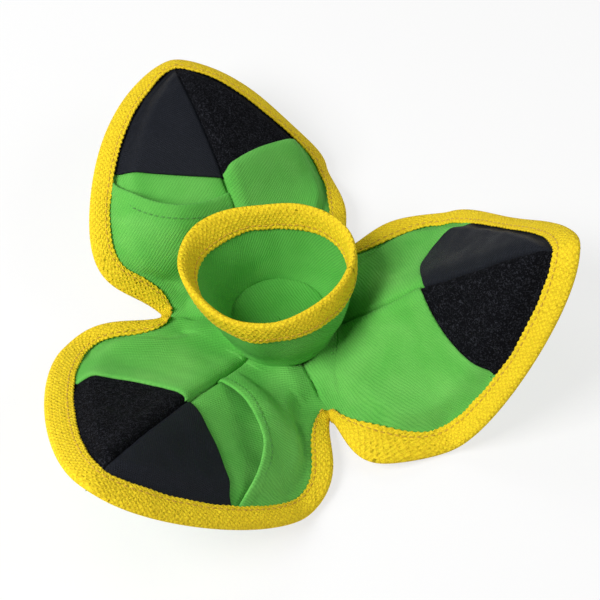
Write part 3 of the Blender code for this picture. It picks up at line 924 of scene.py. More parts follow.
@dataclass(frozen=True)
class Pattern:
    """Flat pattern that all three petals share, with the root sector behind it."""

    hinge_radius: float = 0.031
    hinge_height: float = 0.0035
    length: float = 0.135
    half_width: float = 0.0745
    widest_share: float = 0.285
    notch_inset: float = 0.0030
    leave_angle: float = 28.0
    notch_handle_share: float = 0.12
    widest_root_handle_share: float = 0.15
    widest_tip_handle_share: float = 0.25
    tip_handle_share: float = 0.315
    root_stretch_share: float = 0.36
    patch_start: float = 0.0535
    patch_slant: float = 0.40
    tape_width: float = 0.0125
    foot_radius: float = 0.0255
    ridge_round: float = 0.006
    fall_run: float = 0.045
    pad: float = 0.0048
    pad_slope: float = 0.0105
    canvas: float = 0.0008
    layer_gap: float = 0.00035
    bend: float = 0.010
    bend_fade: float = 0.016
    gather_start: Ramp = Ramp(0.0, 0.005)
    seam_share: float = 0.75
    seam_end_radius: float = 0.0546
    turn_end: float = 0.02
    least_facing: float = 0.2
    skin_inset: float = 0.003
    skin_last_row: float = 0.985
    cover_start_share: float = 0.12
    panel_inset: float = 0.004
    panel_start: float = 0.0003
    panel_overlap: float = 0.006
    panel_ridge_notch: Roll = Roll(0.008, 0.04)
    patch_inset: float = 0.0065
    patch_ridge_start: float = 0.0001
    patch_overlap: float = 0.006
    patch_last_row: float = 0.955
    loop_thickness: float = 0.0012
    hook_thickness: float = 0.0010
    mouth_overlap: float = 0.003
    mouth_crowding: float = 0.25
    stitches_from_mouth: float = 0.0040
    stitches_above: float = 0.00065
    tape_station: float = 0.0007

    def outline(self, u: np.ndarray) -> np.ndarray:
        """Hook-side edge of the petal, from the notch at 0 to the tip at 1.

        Args:
            u: Places along the edge, from 0 to 1.

        Returns:
            Flat points with a last axis of two.
        """
        u = np.asarray(u, dtype=float)
        notch = np.array([0.0, self.hinge_radius * math.tan(HALF_SECTOR) - self.notch_inset])
        leave = math.radians(self.leave_angle)
        way = np.array([math.cos(leave), math.sin(leave)])
        widest = np.array([self.widest_share * self.length, self.half_width])
        tip = np.array([self.length, 0.0])
        outward = np.array([self.length, 0.0])
        root = bezier(
            notch,
            notch + way * self.notch_handle_share * self.length,
            widest - outward * self.widest_root_handle_share,
            widest,
            np.clip(u / self.root_stretch_share, 0.0, 1.0),
        )
        end = bezier(
            widest,
            widest + outward * self.widest_tip_handle_share,
            tip + np.array([0.0, self.tip_handle_share * self.half_width]),
            tip,
            np.clip((u - self.root_stretch_share) / (1.0 - self.root_stretch_share), 0.0, 1.0),
        )
        return np.where((u < self.root_stretch_share)[..., None], root, end)

    def inward(self, u: np.ndarray) -> np.ndarray:
        """Unit direction square to the edge, into the petal.

        Args:
            u: Places along the edge, from 0 to 1.

        Returns:
            Flat directions with a last axis of two.
        """
        probe = 0.0015
        low = np.clip(np.asarray(u, dtype=float) - probe, 0.0, 1.0)
        high = np.clip(np.asarray(u, dtype=float) + probe, 0.0, 1.0)
        along = unit(self.outline(high) - self.outline(low))
        return np.stack([along[..., 1], -along[..., 0]], axis=-1)

    @staticmethod
    def solve(function: Callable[[float], float], target: float) -> float:
        """Bisect a rising function between 0 and 1.

        Args:
            function: Function to solve.
            target: Value that it has to reach.

        Returns:
            The place of that value.
        """
        low, high = 0.0, 1.0
        for _ in range(50):
            middle = (low + high) / 2.0
            if function(middle) < target:
                low = middle
            else:
                high = middle
        return (low + high) / 2.0

    @cached_property
    def patch_row(self) -> float:
        """Place along the edge of the row on which the patches begin.

        Returns:
            The place, from 0 to 1.
        """
        row = self.root_stretch_share
        for _ in range(30):
            held = row
            row = self.solve(lambda u: float(self.start(u, held)), self.patch_start)
        return row

    def slant(self, u: np.ndarray, patch_row: float | None = None) -> np.ndarray:
        """Slope of a row: square to the ridge at the hinge, slanted at the patches."""
        row = self.patch_row if patch_row is None else patch_row
        return self.patch_slant * smooth(np.asarray(u, dtype=float) / row)

    def start(self, u: np.ndarray, patch_row: float | None = None) -> np.ndarray:
        """Where a row meets the ridge."""
        edge = self.outline(u)
        return edge[..., 0] - self.slant(u, patch_row) * edge[..., 1]

    def reach(self, u: np.ndarray) -> np.ndarray:
        """Sideways distance from the ridge to the tape's inner edge.

        Args:
            u: Places along the edge, from 0 to 1.

        Returns:
            Distances in metres.
        """
        edge, slant, normal = self.outline(u), self.slant(u), self.inward(u)
        length = np.sqrt(1.0 + slant * slant)
        facing = (-slant * normal[..., 0] - normal[..., 1]) / length
        facing = np.clip(facing, self.least_facing, 1.0)
        return edge[..., 1] - self.tape_width / (facing * length)

    @cached_property
    def turn(self) -> tuple[np.ndarray, float]:
        """Centre and radius of the tape's outer edge in its turn round a notch.

        Returns:
            The flat centre and the radius.
        """
        notch, out = self.outline(0.0), -self.inward(0.0)
        sine, cosine = math.sin(HALF_SECTOR), math.cos(HALF_SECTOR)
        away = (notch[0] + self.hinge_radius) * sine - notch[1] * cosine
        radius = away / (out[1] * cosine - out[0] * sine)
        return notch + out * radius, float(radius)

    def room(self, p: np.ndarray, q: np.ndarray, u: np.ndarray) -> np.ndarray:
        """Distance from the tape's inner edge.

        Args:
            p: Outward flat coordinate.
            q: Sideways flat coordinate.
            u: Row of the petal, or less than zero on the root.

        Returns:
            Distances in metres, negative under the tape.
        """
        slant = self.slant(np.maximum(u, 0.0))
        petal = (self.reach(np.maximum(u, 0.0)) - np.abs(q)) * np.sqrt(1.0 + slant * slant)
        centre, radius = self.turn
        root = np.hypot(p - centre[0], np.abs(q) - centre[1]) - radius - self.tape_width
        near_turn = np.minimum(petal, np.where(p < self.turn_end, np.maximum(root, petal), petal))
        return np.where(u < 0.0, root, near_turn)

    def seam_room(self, p: np.ndarray, q: np.ndarray) -> np.ndarray:
        """Distance from the seam where two petals' skins meet on the root."""
        return (self.hinge_radius + p) * math.sin(HALF_SECTOR) - np.abs(q) * math.cos(HALF_SECTOR)


@dataclass(frozen=True)
class Gather:
    """Drawn-in stretch of a petal's side, as a share of its width at a place."""

    share: float
    at: float
    run: float

    def pull(self, p: np.ndarray, reach: np.ndarray) -> np.ndarray:
        """Share by which the cloth is drawn in, for a sideways reach in half widths."""
        return self.share * reach * bell((p - self.at) / self.run)


@dataclass(frozen=True)
class Pose:
    """Rest pose of one petal. Angles are in degrees."""

    name: str
    azimuth: float
    pitch: float
    droop: float
    hook_fall: float
    hook_edge_fall: float
    loop_fall: float
    loop_edge_fall: float
    sway_share: float
    hook_gathers: tuple[Gather, ...] = ()
    loop_gathers: tuple[Gather, ...] = ()
    gape: float = 0.0
    mouth_inner_share: float = 1.0
    mouth_outer_share: float = 1.0
    mouth_sag_share: float = 0.0
    mouth_power: float = 1.0
    hook_tilt_share: float = 0.0
    hook_arch_share: float = 0.0
    loop_tilt_share: float = 0.0
    loop_arch_share: float = 0.0
    ridge_shift_share: float = 0.0
    arch_power: float = 0.6
    tape_shares: tuple[float, ...] = (1.0, 1.0, 1.0, 1.0, 1.0, 1.0, 1.0)


@dataclass(frozen=True)
class TapeRelief:
    """Fine relief of a petal's tape, over the run along it or the distance from its ends."""

    tooth_height: float = 0.00028
    tooth_pitch: float = 0.0028
    tooth_stray: Ripple = Ripple(1.6, 0.006, 27.0)
    calm: Ramp = Ramp(0.0, 0.004)
    wobble: Ripple = Ripple(0.0004, 0.011, 20.0)
    lift: Ripple = Ripple(0.0005, 0.017, 23.0)
    end_narrowing: Roll = Roll(0.58, 0.014)
    end_roll: Roll = Roll(0.0020, 0.0020, 0.0058)
    end_tuck: Roll = Roll(0.0016, 0.0026)

    def teeth(self, run: np.ndarray, stray: np.ndarray) -> np.ndarray:
        """Small teeth of the tape's edge along its run, with a stray angle."""
        return self.tooth_height * np.sin(run * (2.0 * math.pi / self.tooth_pitch) + stray)


@dataclass(frozen=True)
class RimRelief(TapeRelief):
    """Fine relief of the bowl's rim tape, over places on a ring."""

    ring_radius: float = 0.04
    tooth_stray: Ripple = Ripple(1.6, 0.006, 57.0)
    wobble: Ripple = Ripple(0.0006, 0.014, 50.0)
    lift: Ripple = Ripple(0.0007, 0.024, 53.0)


@dataclass(frozen=True)
class Relief:
    """Fine relief of the petals' cloth, over distances from the tape, a seam or a mouth."""

    swell_start: float = -0.0002
    root_end: Ramp = Ramp(0.002, 0.016)
    root_swell: Ramp = Ramp(0.0, 0.010)
    root_swell_share: float = 0.45
    pucker: Roll = Roll(0.00028, 0.0055, 0.002)
    pucker_start: Ramp = Ramp(-0.001, 0.002)
    pucker_way: tuple[float, float] = (0.9, 0.7)
    pucker_wave: float = 0.0023
    pucker_stray: Ripple = Ripple(2.2, 0.02)
    broad: Ripple = Ripple(0.00085, 0.034, 3.1)
    broad_start: Ramp = Ramp(0.0, 0.012)
    fine: Ripple = Ripple(0.00022, 0.012, 7.7)
    fine_start: Ramp = Ramp(0.0, 0.006)
    fine_stretch: float = 1.5
    seam_crease: Roll = Roll(0.0020, 0.0010)
    seam_valley: Roll = Roll(0.0007, 0.0035)
    seam_start: Ramp = Ramp(0.0, 0.003)
    ridge_crease: Roll = Roll(0.0024, 0.0010)
    ridge_valley: Roll = Roll(0.0008, 0.0050)
    ridge_roll: Roll = Roll(0.0009, 0.0030, 0.0040)
    ridge_start: Ramp = Ramp(0.001, 0.010)
    end_crease_row: float = 0.5
    end_crease_share: float = 0.75
    cover_dip: Roll = Roll(0.0003, 0.0030)
    cover_dip_start: Ramp = Ramp(0.0, 0.008)
    panel_end: Roll = Roll(0.0013, 0.0065)
    panel_end_start: Ramp = Ramp(0.0, 0.004)
    panel_turn_in: Roll = Roll(0.0007, 0.004)
    hem_width: float = 0.0050
    hem_step: float = 0.0010
    hem_ply_share: float = 0.9
    hem_groove: Roll = Roll(0.0004, 0.0008, 0.0046)
    gape_start: Ramp = Ramp(0.28, 0.72)
    gape_width_share: float = 0.93
    gape_power: float = 1.35
    patch_tuck: float = 0.0007
    patch_tuck_edge: float = 0.0005
    patch_tuck_run: float = 0.0035
    loop_tufts: Ripple = Ripple(0.00022, 0.0016, 11.0)
    hook_waves: Ripple = Ripple(0.00018, 0.006, 13.0)
    hook_stretch: float = 0.4
    under_level: float = -0.0013
    under_sag: float = 0.0014
    under_sag_side: Ramp = Ramp(0.0, 0.012)
    under_sag_start: Ramp = Ramp(0.004, 0.02)
    under_waves: Ripple = Ripple(0.0005, 0.02, 5.0)
    under_root_drop: float = 0.0012
    under_root_end: Ramp = Ramp(-0.002, 0.008)


@dataclass
class HalfGrid:
    """Rows and columns of flat points over one half of a petal."""

    p: np.ndarray
    q: np.ndarray
    u: np.ndarray
    across: np.ndarray


@dataclass
class Petal:
    """One padded petal: its skins, patches, tape and stitches."""

    pattern: Pattern
    pose: Pose
    finishes: FinishSet
    seed: float
    notch: int
    relief: Relief = Relief()

    def middle(self, p: np.ndarray, q: np.ndarray) -> np.ndarray:
        """Point on the mid-sheet in the frame of the hinge, with a sharp hinge line.

        Args:
            p: Outward flat coordinate.
            q: Sideways flat coordinate.

        Returns:
            Points with a last axis of three.
        """
        pat, pose = self.pattern, self.pose
        flat_p = np.minimum(p, 0.0)
        p = np.maximum(p, 0.0)
        out = p / pat.length
        pitch = math.radians(pose.pitch)
        bow = math.radians(pose.droop) * out / 2.0
        run = p * np.sinc(bow / math.pi)
        slope = pitch - 2.0 * bow
        fall = np.where(q >= 0.0, pose.hook_fall, pose.loop_fall)
        edge_fall = np.where(q >= 0.0, pose.hook_edge_fall, pose.loop_edge_fall)
        fall = np.radians(fall + edge_fall * np.abs(q) / pat.half_width) * smooth(p / pat.fall_run)
        drop = (np.sqrt(q * q + pat.ridge_round**2) - pat.ridge_round) * np.sin(fall)
        sway = pose.sway_share * pat.half_width * out * out
        reach = np.abs(q) / pat.half_width
        hook_pull = sum((gather.pull(p, reach) for gather in pose.hook_gathers), 0.0 * p)
        loop_pull = sum((gather.pull(p, reach) for gather in pose.loop_gathers), 0.0 * p)
        narrow = 1.0 - np.where(q >= 0.0, hook_pull, loop_pull) * pat.gather_start.over(p)
        x = flat_p + run * np.cos(pitch - bow) + drop * np.sin(slope)
        z = run * np.sin(pitch - bow) - drop * np.cos(slope)
        return np.stack([x, q * np.cos(fall) * narrow + sway, z], axis=-1)

    def sheet(self, p: np.ndarray, q: np.ndarray) -> np.ndarray:
        """Point on the mid-sheet in the frame of the hinge, with a soft bend at the hinge.

        Args:
            p: Outward flat coordinate.
            q: Sideways flat coordinate.

        Returns:
            Points with a last axis of three.
        """
        pat = self.pattern
        samples, end_weight = 9, 0.05
        p, q = np.broadcast_arrays(np.asarray(p, dtype=float), np.asarray(q, dtype=float))
        near = pat.bend * (1.0 - smooth((np.abs(p) - pat.bend) / pat.bend_fade))
        total = np.zeros(p.shape + (3,))
        weights = 0.0
        for step in np.linspace(-1.0, 1.0, samples):
            weight = 1.0 + end_weight - abs(step)
            total += weight * self.middle(p + near * step, q)
            weights += weight
        return total / weights

    def raised(self, p: np.ndarray, q: np.ndarray, height: np.ndarray) -> np.ndarray:
        """World point at a height above the mid-sheet.

        Args:
            p: Outward flat coordinate.
            q: Sideways flat coordinate.
            height: Height square to the mid-sheet.

        Returns:
            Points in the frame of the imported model.
        """
        probe = 0.0004
        p, q = np.asarray(p, dtype=float), np.asarray(q, dtype=float)
        along = self.sheet(p + probe, q) - self.sheet(p - probe, q)
        across = self.sheet(p, q + probe) - self.sheet(p, q - probe)
        normal = unit(np.cross(along, across))
        return self.to_world(self.sheet(p, q) + normal * np.asarray(height)[..., None])

    def to_world(self, points: np.ndarray) -> np.ndarray:
        """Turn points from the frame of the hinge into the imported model's.

        Args:
            points: Points in the frame of the hinge.

        Returns:
            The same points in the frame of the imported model.
        """
        turn = math.radians(self.pose.azimuth)
        x = points[..., 0] + self.pattern.hinge_radius
        y = points[..., 1]
        return np.stack(
            [
                x * math.cos(turn) - y * math.sin(turn),
                x * math.sin(turn) + y * math.cos(turn),
                points[..., 2] + self.pattern.hinge_height,
            ],
            axis=-1,
        )

    # Flat grids

    def petal_rows(self, rows: np.ndarray, columns: np.ndarray, inset: float, start: float) -> HalfGrid:
        """Flat grid over one half of the petal beyond its hinge.

        Args:
            rows: Places along the edge, one for each row or a full grid.
            columns: Shares of the way from the ridge to the edge.
            inset: How far inside the edge the rows end.
            start: Sideways distance from the ridge at which the rows begin.

        Returns:
            The grid, drawn on the hook side.
        """
        pat = self.pattern
        rows = np.asarray(rows, dtype=float)
        u = np.broadcast_to(rows if rows.ndim == 2 else rows[:, None], (rows.shape[0], len(columns)))
        across = np.broadcast_to(np.asarray(columns)[None, :], u.shape)
        end = pat.outline(u) + pat.inward(u) * inset
        q = start + (np.maximum(end[..., 1], start) - start) * across
        p = pat.start(u) + (end[..., 0] - pat.start(u)) * across
        return HalfGrid(p, q, u, across)

    def root_rows(self, count: int, columns: np.ndarray, inset: float, start: float) -> HalfGrid:
        """Flat grid over the root sector, from the bowl's foot to the hinge line.

        Args:
            count: Number of rows.
            columns: Shares of the way from the ridge to the seam.
            inset: How far inside the petal's edge the last row ends.
            start: Sideways distance from the ridge at which the rows begin.

        Returns:
            The grid, drawn on the hook side.
        """
        pat = self.pattern
        share = np.linspace(0.0, 1.0, count + 1)[:-1, None]
        across = np.asarray(columns)[None, :]
        ring_x = pat.foot_radius * np.cos(HALF_SECTOR * across) - pat.hinge_radius
        ring_y = start + (pat.foot_radius * np.sin(HALF_SECTOR * across) - start) * (across > 0.0)
        ring_y = np.maximum(ring_y, start)
        last = pat.outline(0.0) + pat.inward(0.0) * inset
        line_x, line_y = last[0] * across, start + (last[1] - start) * across
        p = ring_x * (1.0 - share) + line_x * share
        q = ring_y * (1.0 - share) + line_y * share
        out = np.minimum(share / pat.seam_share, 1.0)
        reach = pat.foot_radius + (pat.seam_end_radius - pat.foot_radius) * out
        seam_x = reach * math.cos(HALF_SECTOR) - pat.hinge_radius
        seam = np.concatenate([seam_x, reach * math.sin(HALF_SECTOR)], axis=1)
        turn = smooth((share - pat.seam_share) / (1.0 - pat.seam_share))
        seam = seam * (1.0 - turn) + last[None, :] * turn
        p = p + across**2 * (seam[:, :1] - p[:, -1:])
        q = q + across**2 * (seam[:, 1:] - q[:, -1:])
        u = np.full(p.shape, -1.0)
        return HalfGrid(p, q, u, np.broadcast_to(across, p.shape))

    @staticmethod
    def join(first: HalfGrid, second: HalfGrid) -> HalfGrid:
        """Put one grid's rows after another's."""
        pairs = [(getattr(first, key), getattr(second, key)) for key in ("p", "q", "u", "across")]
        return HalfGrid(*[np.concatenate(pair, axis=0) for pair in pairs])

    def panel_grid(self, root_count: int, rows: np.ndarray, columns: np.ndarray) -> HalfGrid:
        """Flat grid of a panel that runs from the bowl's foot to its rows on the petal.

        Args:
            root_count: Number of rows on the root.
            rows: Places of the rows on the petal.
            columns: Shares of the way from the ridge to the edge.

        Returns:
            The grid, drawn on the hook side.
        """
        inset, start = self.pattern.panel_inset, self.pattern.panel_start
        root = self.root_rows(root_count, columns, inset, start)
        return self.join(root, self.petal_rows(rows, columns, inset, start))

    # Heights

    def puff(self, grid: HalfGrid, side: Side) -> np.ndarray:
        """Height of the padded skin above the mid-sheet, with puckers and seam valleys.

        Args:
            grid: Flat grid, drawn on the hook side.
            side: The half of the petal.

        Returns:
            One height for each point.
        """
        pat, cut, p, q = self.pattern, self.relief, grid.p, grid.q * float(side.value)
        room = pat.room(grid.p, grid.q, grid.u)
        seam = pat.seam_room(grid.p, grid.q)
        on_root = 1.0 - cut.root_end.over(p)
        plump = cut.root_swell_share + (1.0 - cut.root_swell_share) * cut.root_swell.over(seam)
        swell = Ramp(cut.swell_start, pat.pad_slope).over(room) * (1.0 - on_root * (1.0 - plump))
        way = p * cut.pucker_way[0] + grid.q * cut.pucker_way[1]
        pucker = np.sin(way / cut.pucker_wave + cut.pucker_stray.over(p, q, self.seed))
        height = pat.pad * swell
        height = height + cut.pucker.over(room) * pucker * cut.pucker_start.over(room)
        height = height + cut.broad.over(p, q, self.seed) * cut.broad_start.over(room)
        height = height + cut.fine.over(p * cut.fine_stretch, q, self.seed) * cut.fine_start.over(room)
        groove = cut.seam_crease.over(seam) + cut.seam_valley.over(seam)
        return height - groove * on_root * cut.seam_start.over(room)

    def ridge_dip(self, grid: HalfGrid, side: Side) -> np.ndarray:
        """How far a skin dips into the seam along the ridge, with a soft roll on the loop side.

        Args:
            grid: Flat grid, drawn on the hook side.
            side: The half of the petal.

        Returns:
            Heights, negative in the dip.
        """
        cut = self.relief
        inside = cut.ridge_start.over(self.pattern.room(grid.p, grid.q, grid.u))
        depth = np.where(grid.u < cut.end_crease_row, 1.0, cut.end_crease_share)
        seam = -depth * cut.ridge_crease.over(grid.q) - cut.ridge_valley.over(grid.q)
        if side is Side.HOOK:
            return seam * inside
        return (seam + cut.ridge_roll.over(grid.q)) * inside

    def top(self, grid: HalfGrid, side: Side) -> np.ndarray:
        """Height of the top skin, with its padding and the dip along the ridge."""
        return self.puff(grid, side) + self.ridge_dip(grid, side)

    # Skins

    def lay(
        self,
        name: str,
        grid: HalfGrid,
        height: np.ndarray,
        side: Side,
        thickness: float | np.ndarray,
        held: Held = Held.STRETCHED,
    ) -> bpy.types.Object:
        """Cloth piece over one half of the petal.

        Args:
            name: Name of the piece.
            grid: Flat grid, drawn on the hook side.
            height: Mid-height of the cloth above the mid-sheet.
            side: The half that the piece lies on.
            thickness: Thickness of the cloth.
            held: How the cloth is held.

        Returns:
            The new piece.
        """
        q = grid.q * side.value
        layers = [self.raised(grid.p, q, height), np.stack([grid.p, q], axis=-1)]
        layers.append(np.broadcast_to(thickness, q.shape))
        if side is Side.HOOK:
            layers = [layer[:, ::-1] for layer in layers]
        return cloth(name, *layers, held=held, rests_on=(f"{self.pose.name}_cover",))

    def lay_whole(
        self,
        name: str,
        grid: HalfGrid,
        height: Callable[[Side], np.ndarray],
        held: Held | None = None,
        rests_on: Sequence[str] = (),
    ) -> bpy.types.Object:
        """Cloth piece over both halves of the petal, joined along the ridge.

        Args:
            name: Name of the piece.
            grid: Flat grid of one half, drawn on the hook side.
            height: Gives the mid-height of the cloth on one half.
            held: How the cloth is held, where it is a sheet of its own.
            rests_on: Nodes that the sheet lies on.

        Returns:
            The new piece.
        """
        layers = []
        for side in (Side.LOOP, Side.HOOK):
            q = grid.q * side.value
            layers.append((self.raised(grid.p, q, height(side)), np.stack([grid.p, q], axis=-1)))
        whole = [np.concatenate([loop[:, :0:-1], hook], axis=1)[:, ::-1] for loop, hook in zip(*layers)]
        return cloth(name, *whole, self.pattern.canvas, held=held, rests_on=rests_on)

    def patch_edge(self, across: np.ndarray, side: Side) -> np.ndarray:
        """Row on which a patch begins, from the ridge at 0 to the edge at 1.

        Args:
            across: Shares of the way from the ridge to the edge.
            side: The half of the petal.

        Returns:
            Places along the edge.
        """
        pose = self.pose
        tilt = pose.hook_tilt_share if side is Side.HOOK else pose.loop_tilt_share
        arch = pose.hook_arch_share if side is Side.HOOK else pose.loop_arch_share
        bow = np.abs(np.sin(math.pi * across)) ** pose.arch_power
        shift = pose.ridge_shift_share * (1.0 - across) ** 2
        return self.pattern.patch_row + shift + tilt * across**2 + arch * bow

    def build_cover(self) -> bpy.types.Object:
        """Canvas skin over the padding, seen inside the pocket and between the patches.

        Returns:
            The new piece.
        """
        pat, cut = self.pattern, self.relief
        columns = np.linspace(0.0, 1.0, 36) ** 1.7
        rows = np.linspace(pat.patch_row * pat.cover_start_share, pat.skin_last_row, 60)
        grid = self.petal_rows(rows, columns, pat.skin_inset, 0.0)
        dip = cut.cover_dip.over(grid.q) * cut.cover_dip_start.over(pat.room(grid.p, grid.q, grid.u))
        name = f"{self.pose.name}_cover_skin"
        piece = self.lay_whole(name, grid, lambda side: self.top(grid, side) - dip)
        return dress(piece, self.finishes.canvas)

    def build_loop_panel(self) -> bpy.types.Object:
        """Plain panel on the loop side, from the bowl's foot to the loop patch.

        Returns:
            The new piece.
        """
        pat, cut = self.pattern, self.relief
        columns = packed(54)
        ends = self.patch_edge(columns, Side.LOOP) + pat.panel_overlap
        ends = ends - pat.panel_ridge_notch.over(columns)
        rows = np.linspace(0.0, 1.0, 50)[:, None] * ends[None, :]
        grid = self.panel_grid(12, rows, columns)
        edge = np.where(grid.u >= 0.0, (ends[None, :] - grid.u) * pat.length, 1.0)
        room = pat.room(grid.p, grid.q, grid.u)
        height = self.top(grid, Side.LOOP) + pat.canvas + pat.layer_gap
        height = height + cut.panel_end.over(edge) * cut.panel_end_start.over(room)
        thickness = pat.canvas + cut.panel_turn_in.over(edge)
        piece = self.lay(f"{self.pose.name}_loop_side_skin", grid, height, Side.LOOP, thickness)
        return dress(piece, self.finishes.canvas)

    def pocket_grid(self) -> tuple[HalfGrid, np.ndarray, np.ndarray]:
        """Flat grid of the pocket, its mid-heights and its distance from the mouth.

        Returns:
            The grid, the height of each point and the distance to the mouth.
        """
        pat, pose, cut = self.pattern, self.pose, self.relief
        root_count = 12
        columns = packed(54)
        rise = (pose.mouth_outer_share - pose.mouth_inner_share) * columns**pose.mouth_power
        mouth = pose.mouth_inner_share + rise
        mouth = mouth - pose.mouth_sag_share * np.sin(math.pi * columns)
        reaches_patch = mouth > 0.999
        mouth = mouth * self.patch_edge(columns, Side.HOOK) + pat.mouth_overlap * reaches_patch
        shares = np.linspace(0.0, 1.0, 48)
        shares = shares + pat.mouth_crowding * shares * (1.0 - shares)
        rows = shares[:, None] * mouth[None, :]
        grid = self.panel_grid(root_count, rows, columns)
        share = np.concatenate([np.zeros(root_count), shares])[:, None]
        arch = np.sin(math.pi * np.clip(grid.across / cut.gape_width_share, 0.0, 1.0)) ** cut.gape_power
        height = self.top(grid, Side.HOOK) + pat.canvas + pat.layer_gap
        height = height + pose.gape * cut.gape_start.over(share) * arch
        left = np.where(grid.u >= 0.0, (mouth[None, :] - grid.u) * pat.length, 1.0)
        return grid, height, left

    def build_pocket(self) -> bpy.types.Object:
        """Pocket panel on the hook side, with a hemmed mouth.

        Returns:
            The new piece.
        """
        pat, cut = self.pattern, self.relief
        grid, height, left = self.pocket_grid()
        hem = smooth((cut.hem_width - left) / cut.hem_step)
        thickness = pat.canvas * (1.0 + cut.hem_ply_share * hem) - cut.hem_groove.over(left)
        piece = self.lay(f"{self.pose.name}_pocket_panel", grid, height, Side.HOOK, thickness)
        return dress(piece, self.finishes.canvas)

    def build_pocket_stitches(self) -> bpy.types.Object:
        """Row of green stitches just inside the pocket's mouth.

        Returns:
            The new piece.
        """
        pat = self.pattern
        grid, height, left = self.pocket_grid()
        points = self.raised(grid.p, grid.q, height + pat.stitches_above)
        columns = np.arange(4, points.shape[1] - 6)
        rows = np.argmin(np.abs(left[:, columns] - pat.stitches_from_mouth), axis=0)
        ways = -grid_normals(points)[rows, columns]
        ways = np.where(ways[:, 2:] > 0.0, ways, -ways)
        stitch = Stitch(length=0.0020, width=0.0006, pitch=0.0029)
        piece = stitch.row(f"{self.pose.name}_mouth_stitches", points[rows, columns], ways)
        return dress(piece, self.finishes.canvas_thread)

    def build_patch(self, side: Side) -> bpy.types.Object:
        """Fastening patch on one half of the petal's end.

        Args:
            side: The half of the petal.

        Returns:
            The new piece.
        """
        pat, cut = self.pattern, self.relief
        columns = packed(64)
        first = self.patch_edge(columns, side) - pat.patch_overlap
        rows = first[None, :] + np.linspace(0.0, 1.0, 80)[:, None] * (pat.patch_last_row - first[None, :])
        grid = self.petal_rows(rows, columns, pat.patch_inset, pat.patch_ridge_start)
        room = pat.room(grid.p, grid.q, grid.u)
        if side is Side.LOOP:
            name, finish, slot, pile = "loop_pile", self.finishes.loop, Slot.LOOP, pat.loop_thickness
            waves = cut.loop_tufts.over(grid.p, grid.q, self.seed)
        else:
            name, finish, slot, pile = "hook_face", self.finishes.hook, Slot.HOOK, pat.hook_thickness
            waves = cut.hook_waves.over(grid.p, grid.q * cut.hook_stretch, self.seed)
        under_tape = smooth((cut.patch_tuck_edge - room) / cut.patch_tuck_run)
        height = self.top(grid, side) + (pat.canvas + pile) / 2.0 + pat.layer_gap
        height = height - cut.patch_tuck * under_tape + waves
        piece = self.lay(f"{self.pose.name}_{name}", grid, height, side, pile, Held.LAID)
        return dress(piece, finish)

    def build_underside(self) -> bpy.types.Object:
        """Canvas skin under the petal, from below the base to the tip.

        Returns:
            The new piece.
        """
        pat, cut = self.pattern, self.relief
        columns, rows = np.linspace(0.0, 1.0, 22), np.linspace(0.0, pat.skin_last_row, 46)
        root = self.root_rows(8, columns, pat.skin_inset, 0.0)
        grid = self.join(root, self.petal_rows(rows, columns, pat.skin_inset, 0.0))
        sag = cut.under_sag_side.over(pat.room(grid.p, grid.q, grid.u)) * cut.under_sag_start.over(grid.p)
        level = cut.under_level - cut.under_sag * sag
        drop = cut.under_root_drop * (1.0 - cut.under_root_end.over(grid.p))

        def height(side: Side) -> np.ndarray:
            """Mid-height of the skin on one half."""
            return level - sag * cut.under_waves.over(grid.p, side.value * grid.q, self.seed) - drop

        name, rests_on = self.pose.name, (f"{self.pose.name}_padding",)
        piece = self.lay_whole(f"{name}_underside_skin", grid, height, Held.STRETCHED, rests_on)
        return dress(piece, self.finishes.canvas)

    # Tape

    def tape_path(self) -> tuple[np.ndarray, np.ndarray]:
        """Flat outer edge of the tape, from one notch's middle round the tip to the other's.

        Returns:
            The edge points and the inward directions.
        """
        pat = self.pattern
        centre, radius = pat.turn
        start = math.atan2(*pat.inward(0.0)[::-1])
        end = HALF_SECTOR - math.pi
        arc = np.linspace(end, start, 16)[:-1]
        arc_way = np.stack([np.cos(arc), np.sin(arc)], axis=-1)
        u = np.linspace(0.0, 1.0, 400) ** 1.02
        edge, way = pat.outline(u), pat.inward(u)
        edge = np.concatenate([centre + radius * arc_way, edge])
        way = np.concatenate([arc_way, way])
        run = run_along(edge + way * pat.tape_width * 0.5)
        places = np.linspace(0.0, run[-1], int(run[-1] / pat.tape_station))
        edge, way = resample(places, run, edge), unit(resample(places, run, way))
        flip = np.array([1.0, -1.0])
        edge = np.concatenate([edge, (edge * flip)[-2::-1]])
        return edge, np.concatenate([way, (way * flip)[-2::-1]])

    def build_tape(self) -> list[bpy.types.Object]:
        """Webbing tape folded over the petal's edge, with its two rows of stitches.

        Returns:
            The tape and its rows of stitches.
        """
        pat, cut = self.pattern, TapeRelief()
        edge, way = self.tape_path()
        run = run_along(edge + way * pat.tape_width * 0.6)
        ends = np.minimum(run, run[-1] - run)
        calm = cut.calm.over(ends)
        tape = FoldedTape(pat.tape_width, half_gap=0.0018, nose_gap=0.0010, thickness=0.0010)
        shares = self.pose.tape_shares
        wide = np.interp(run / run[-1], np.linspace(0.0, 1.0, len(shares)), shares)
        wide = (wide * (1.0 - cut.end_narrowing.over(ends)))[:, None]
        stray = cut.tooth_stray.over(run, run * 0.0, self.seed)
        wobble = cut.wobble.over(run, run * 0.0, self.seed) * calm + cut.teeth(run, stray) * calm
        lift = cut.lift.over(run, run * 0.0, self.seed) * calm
        gather = cut.end_roll.over(ends) - cut.end_tuck.over(ends)

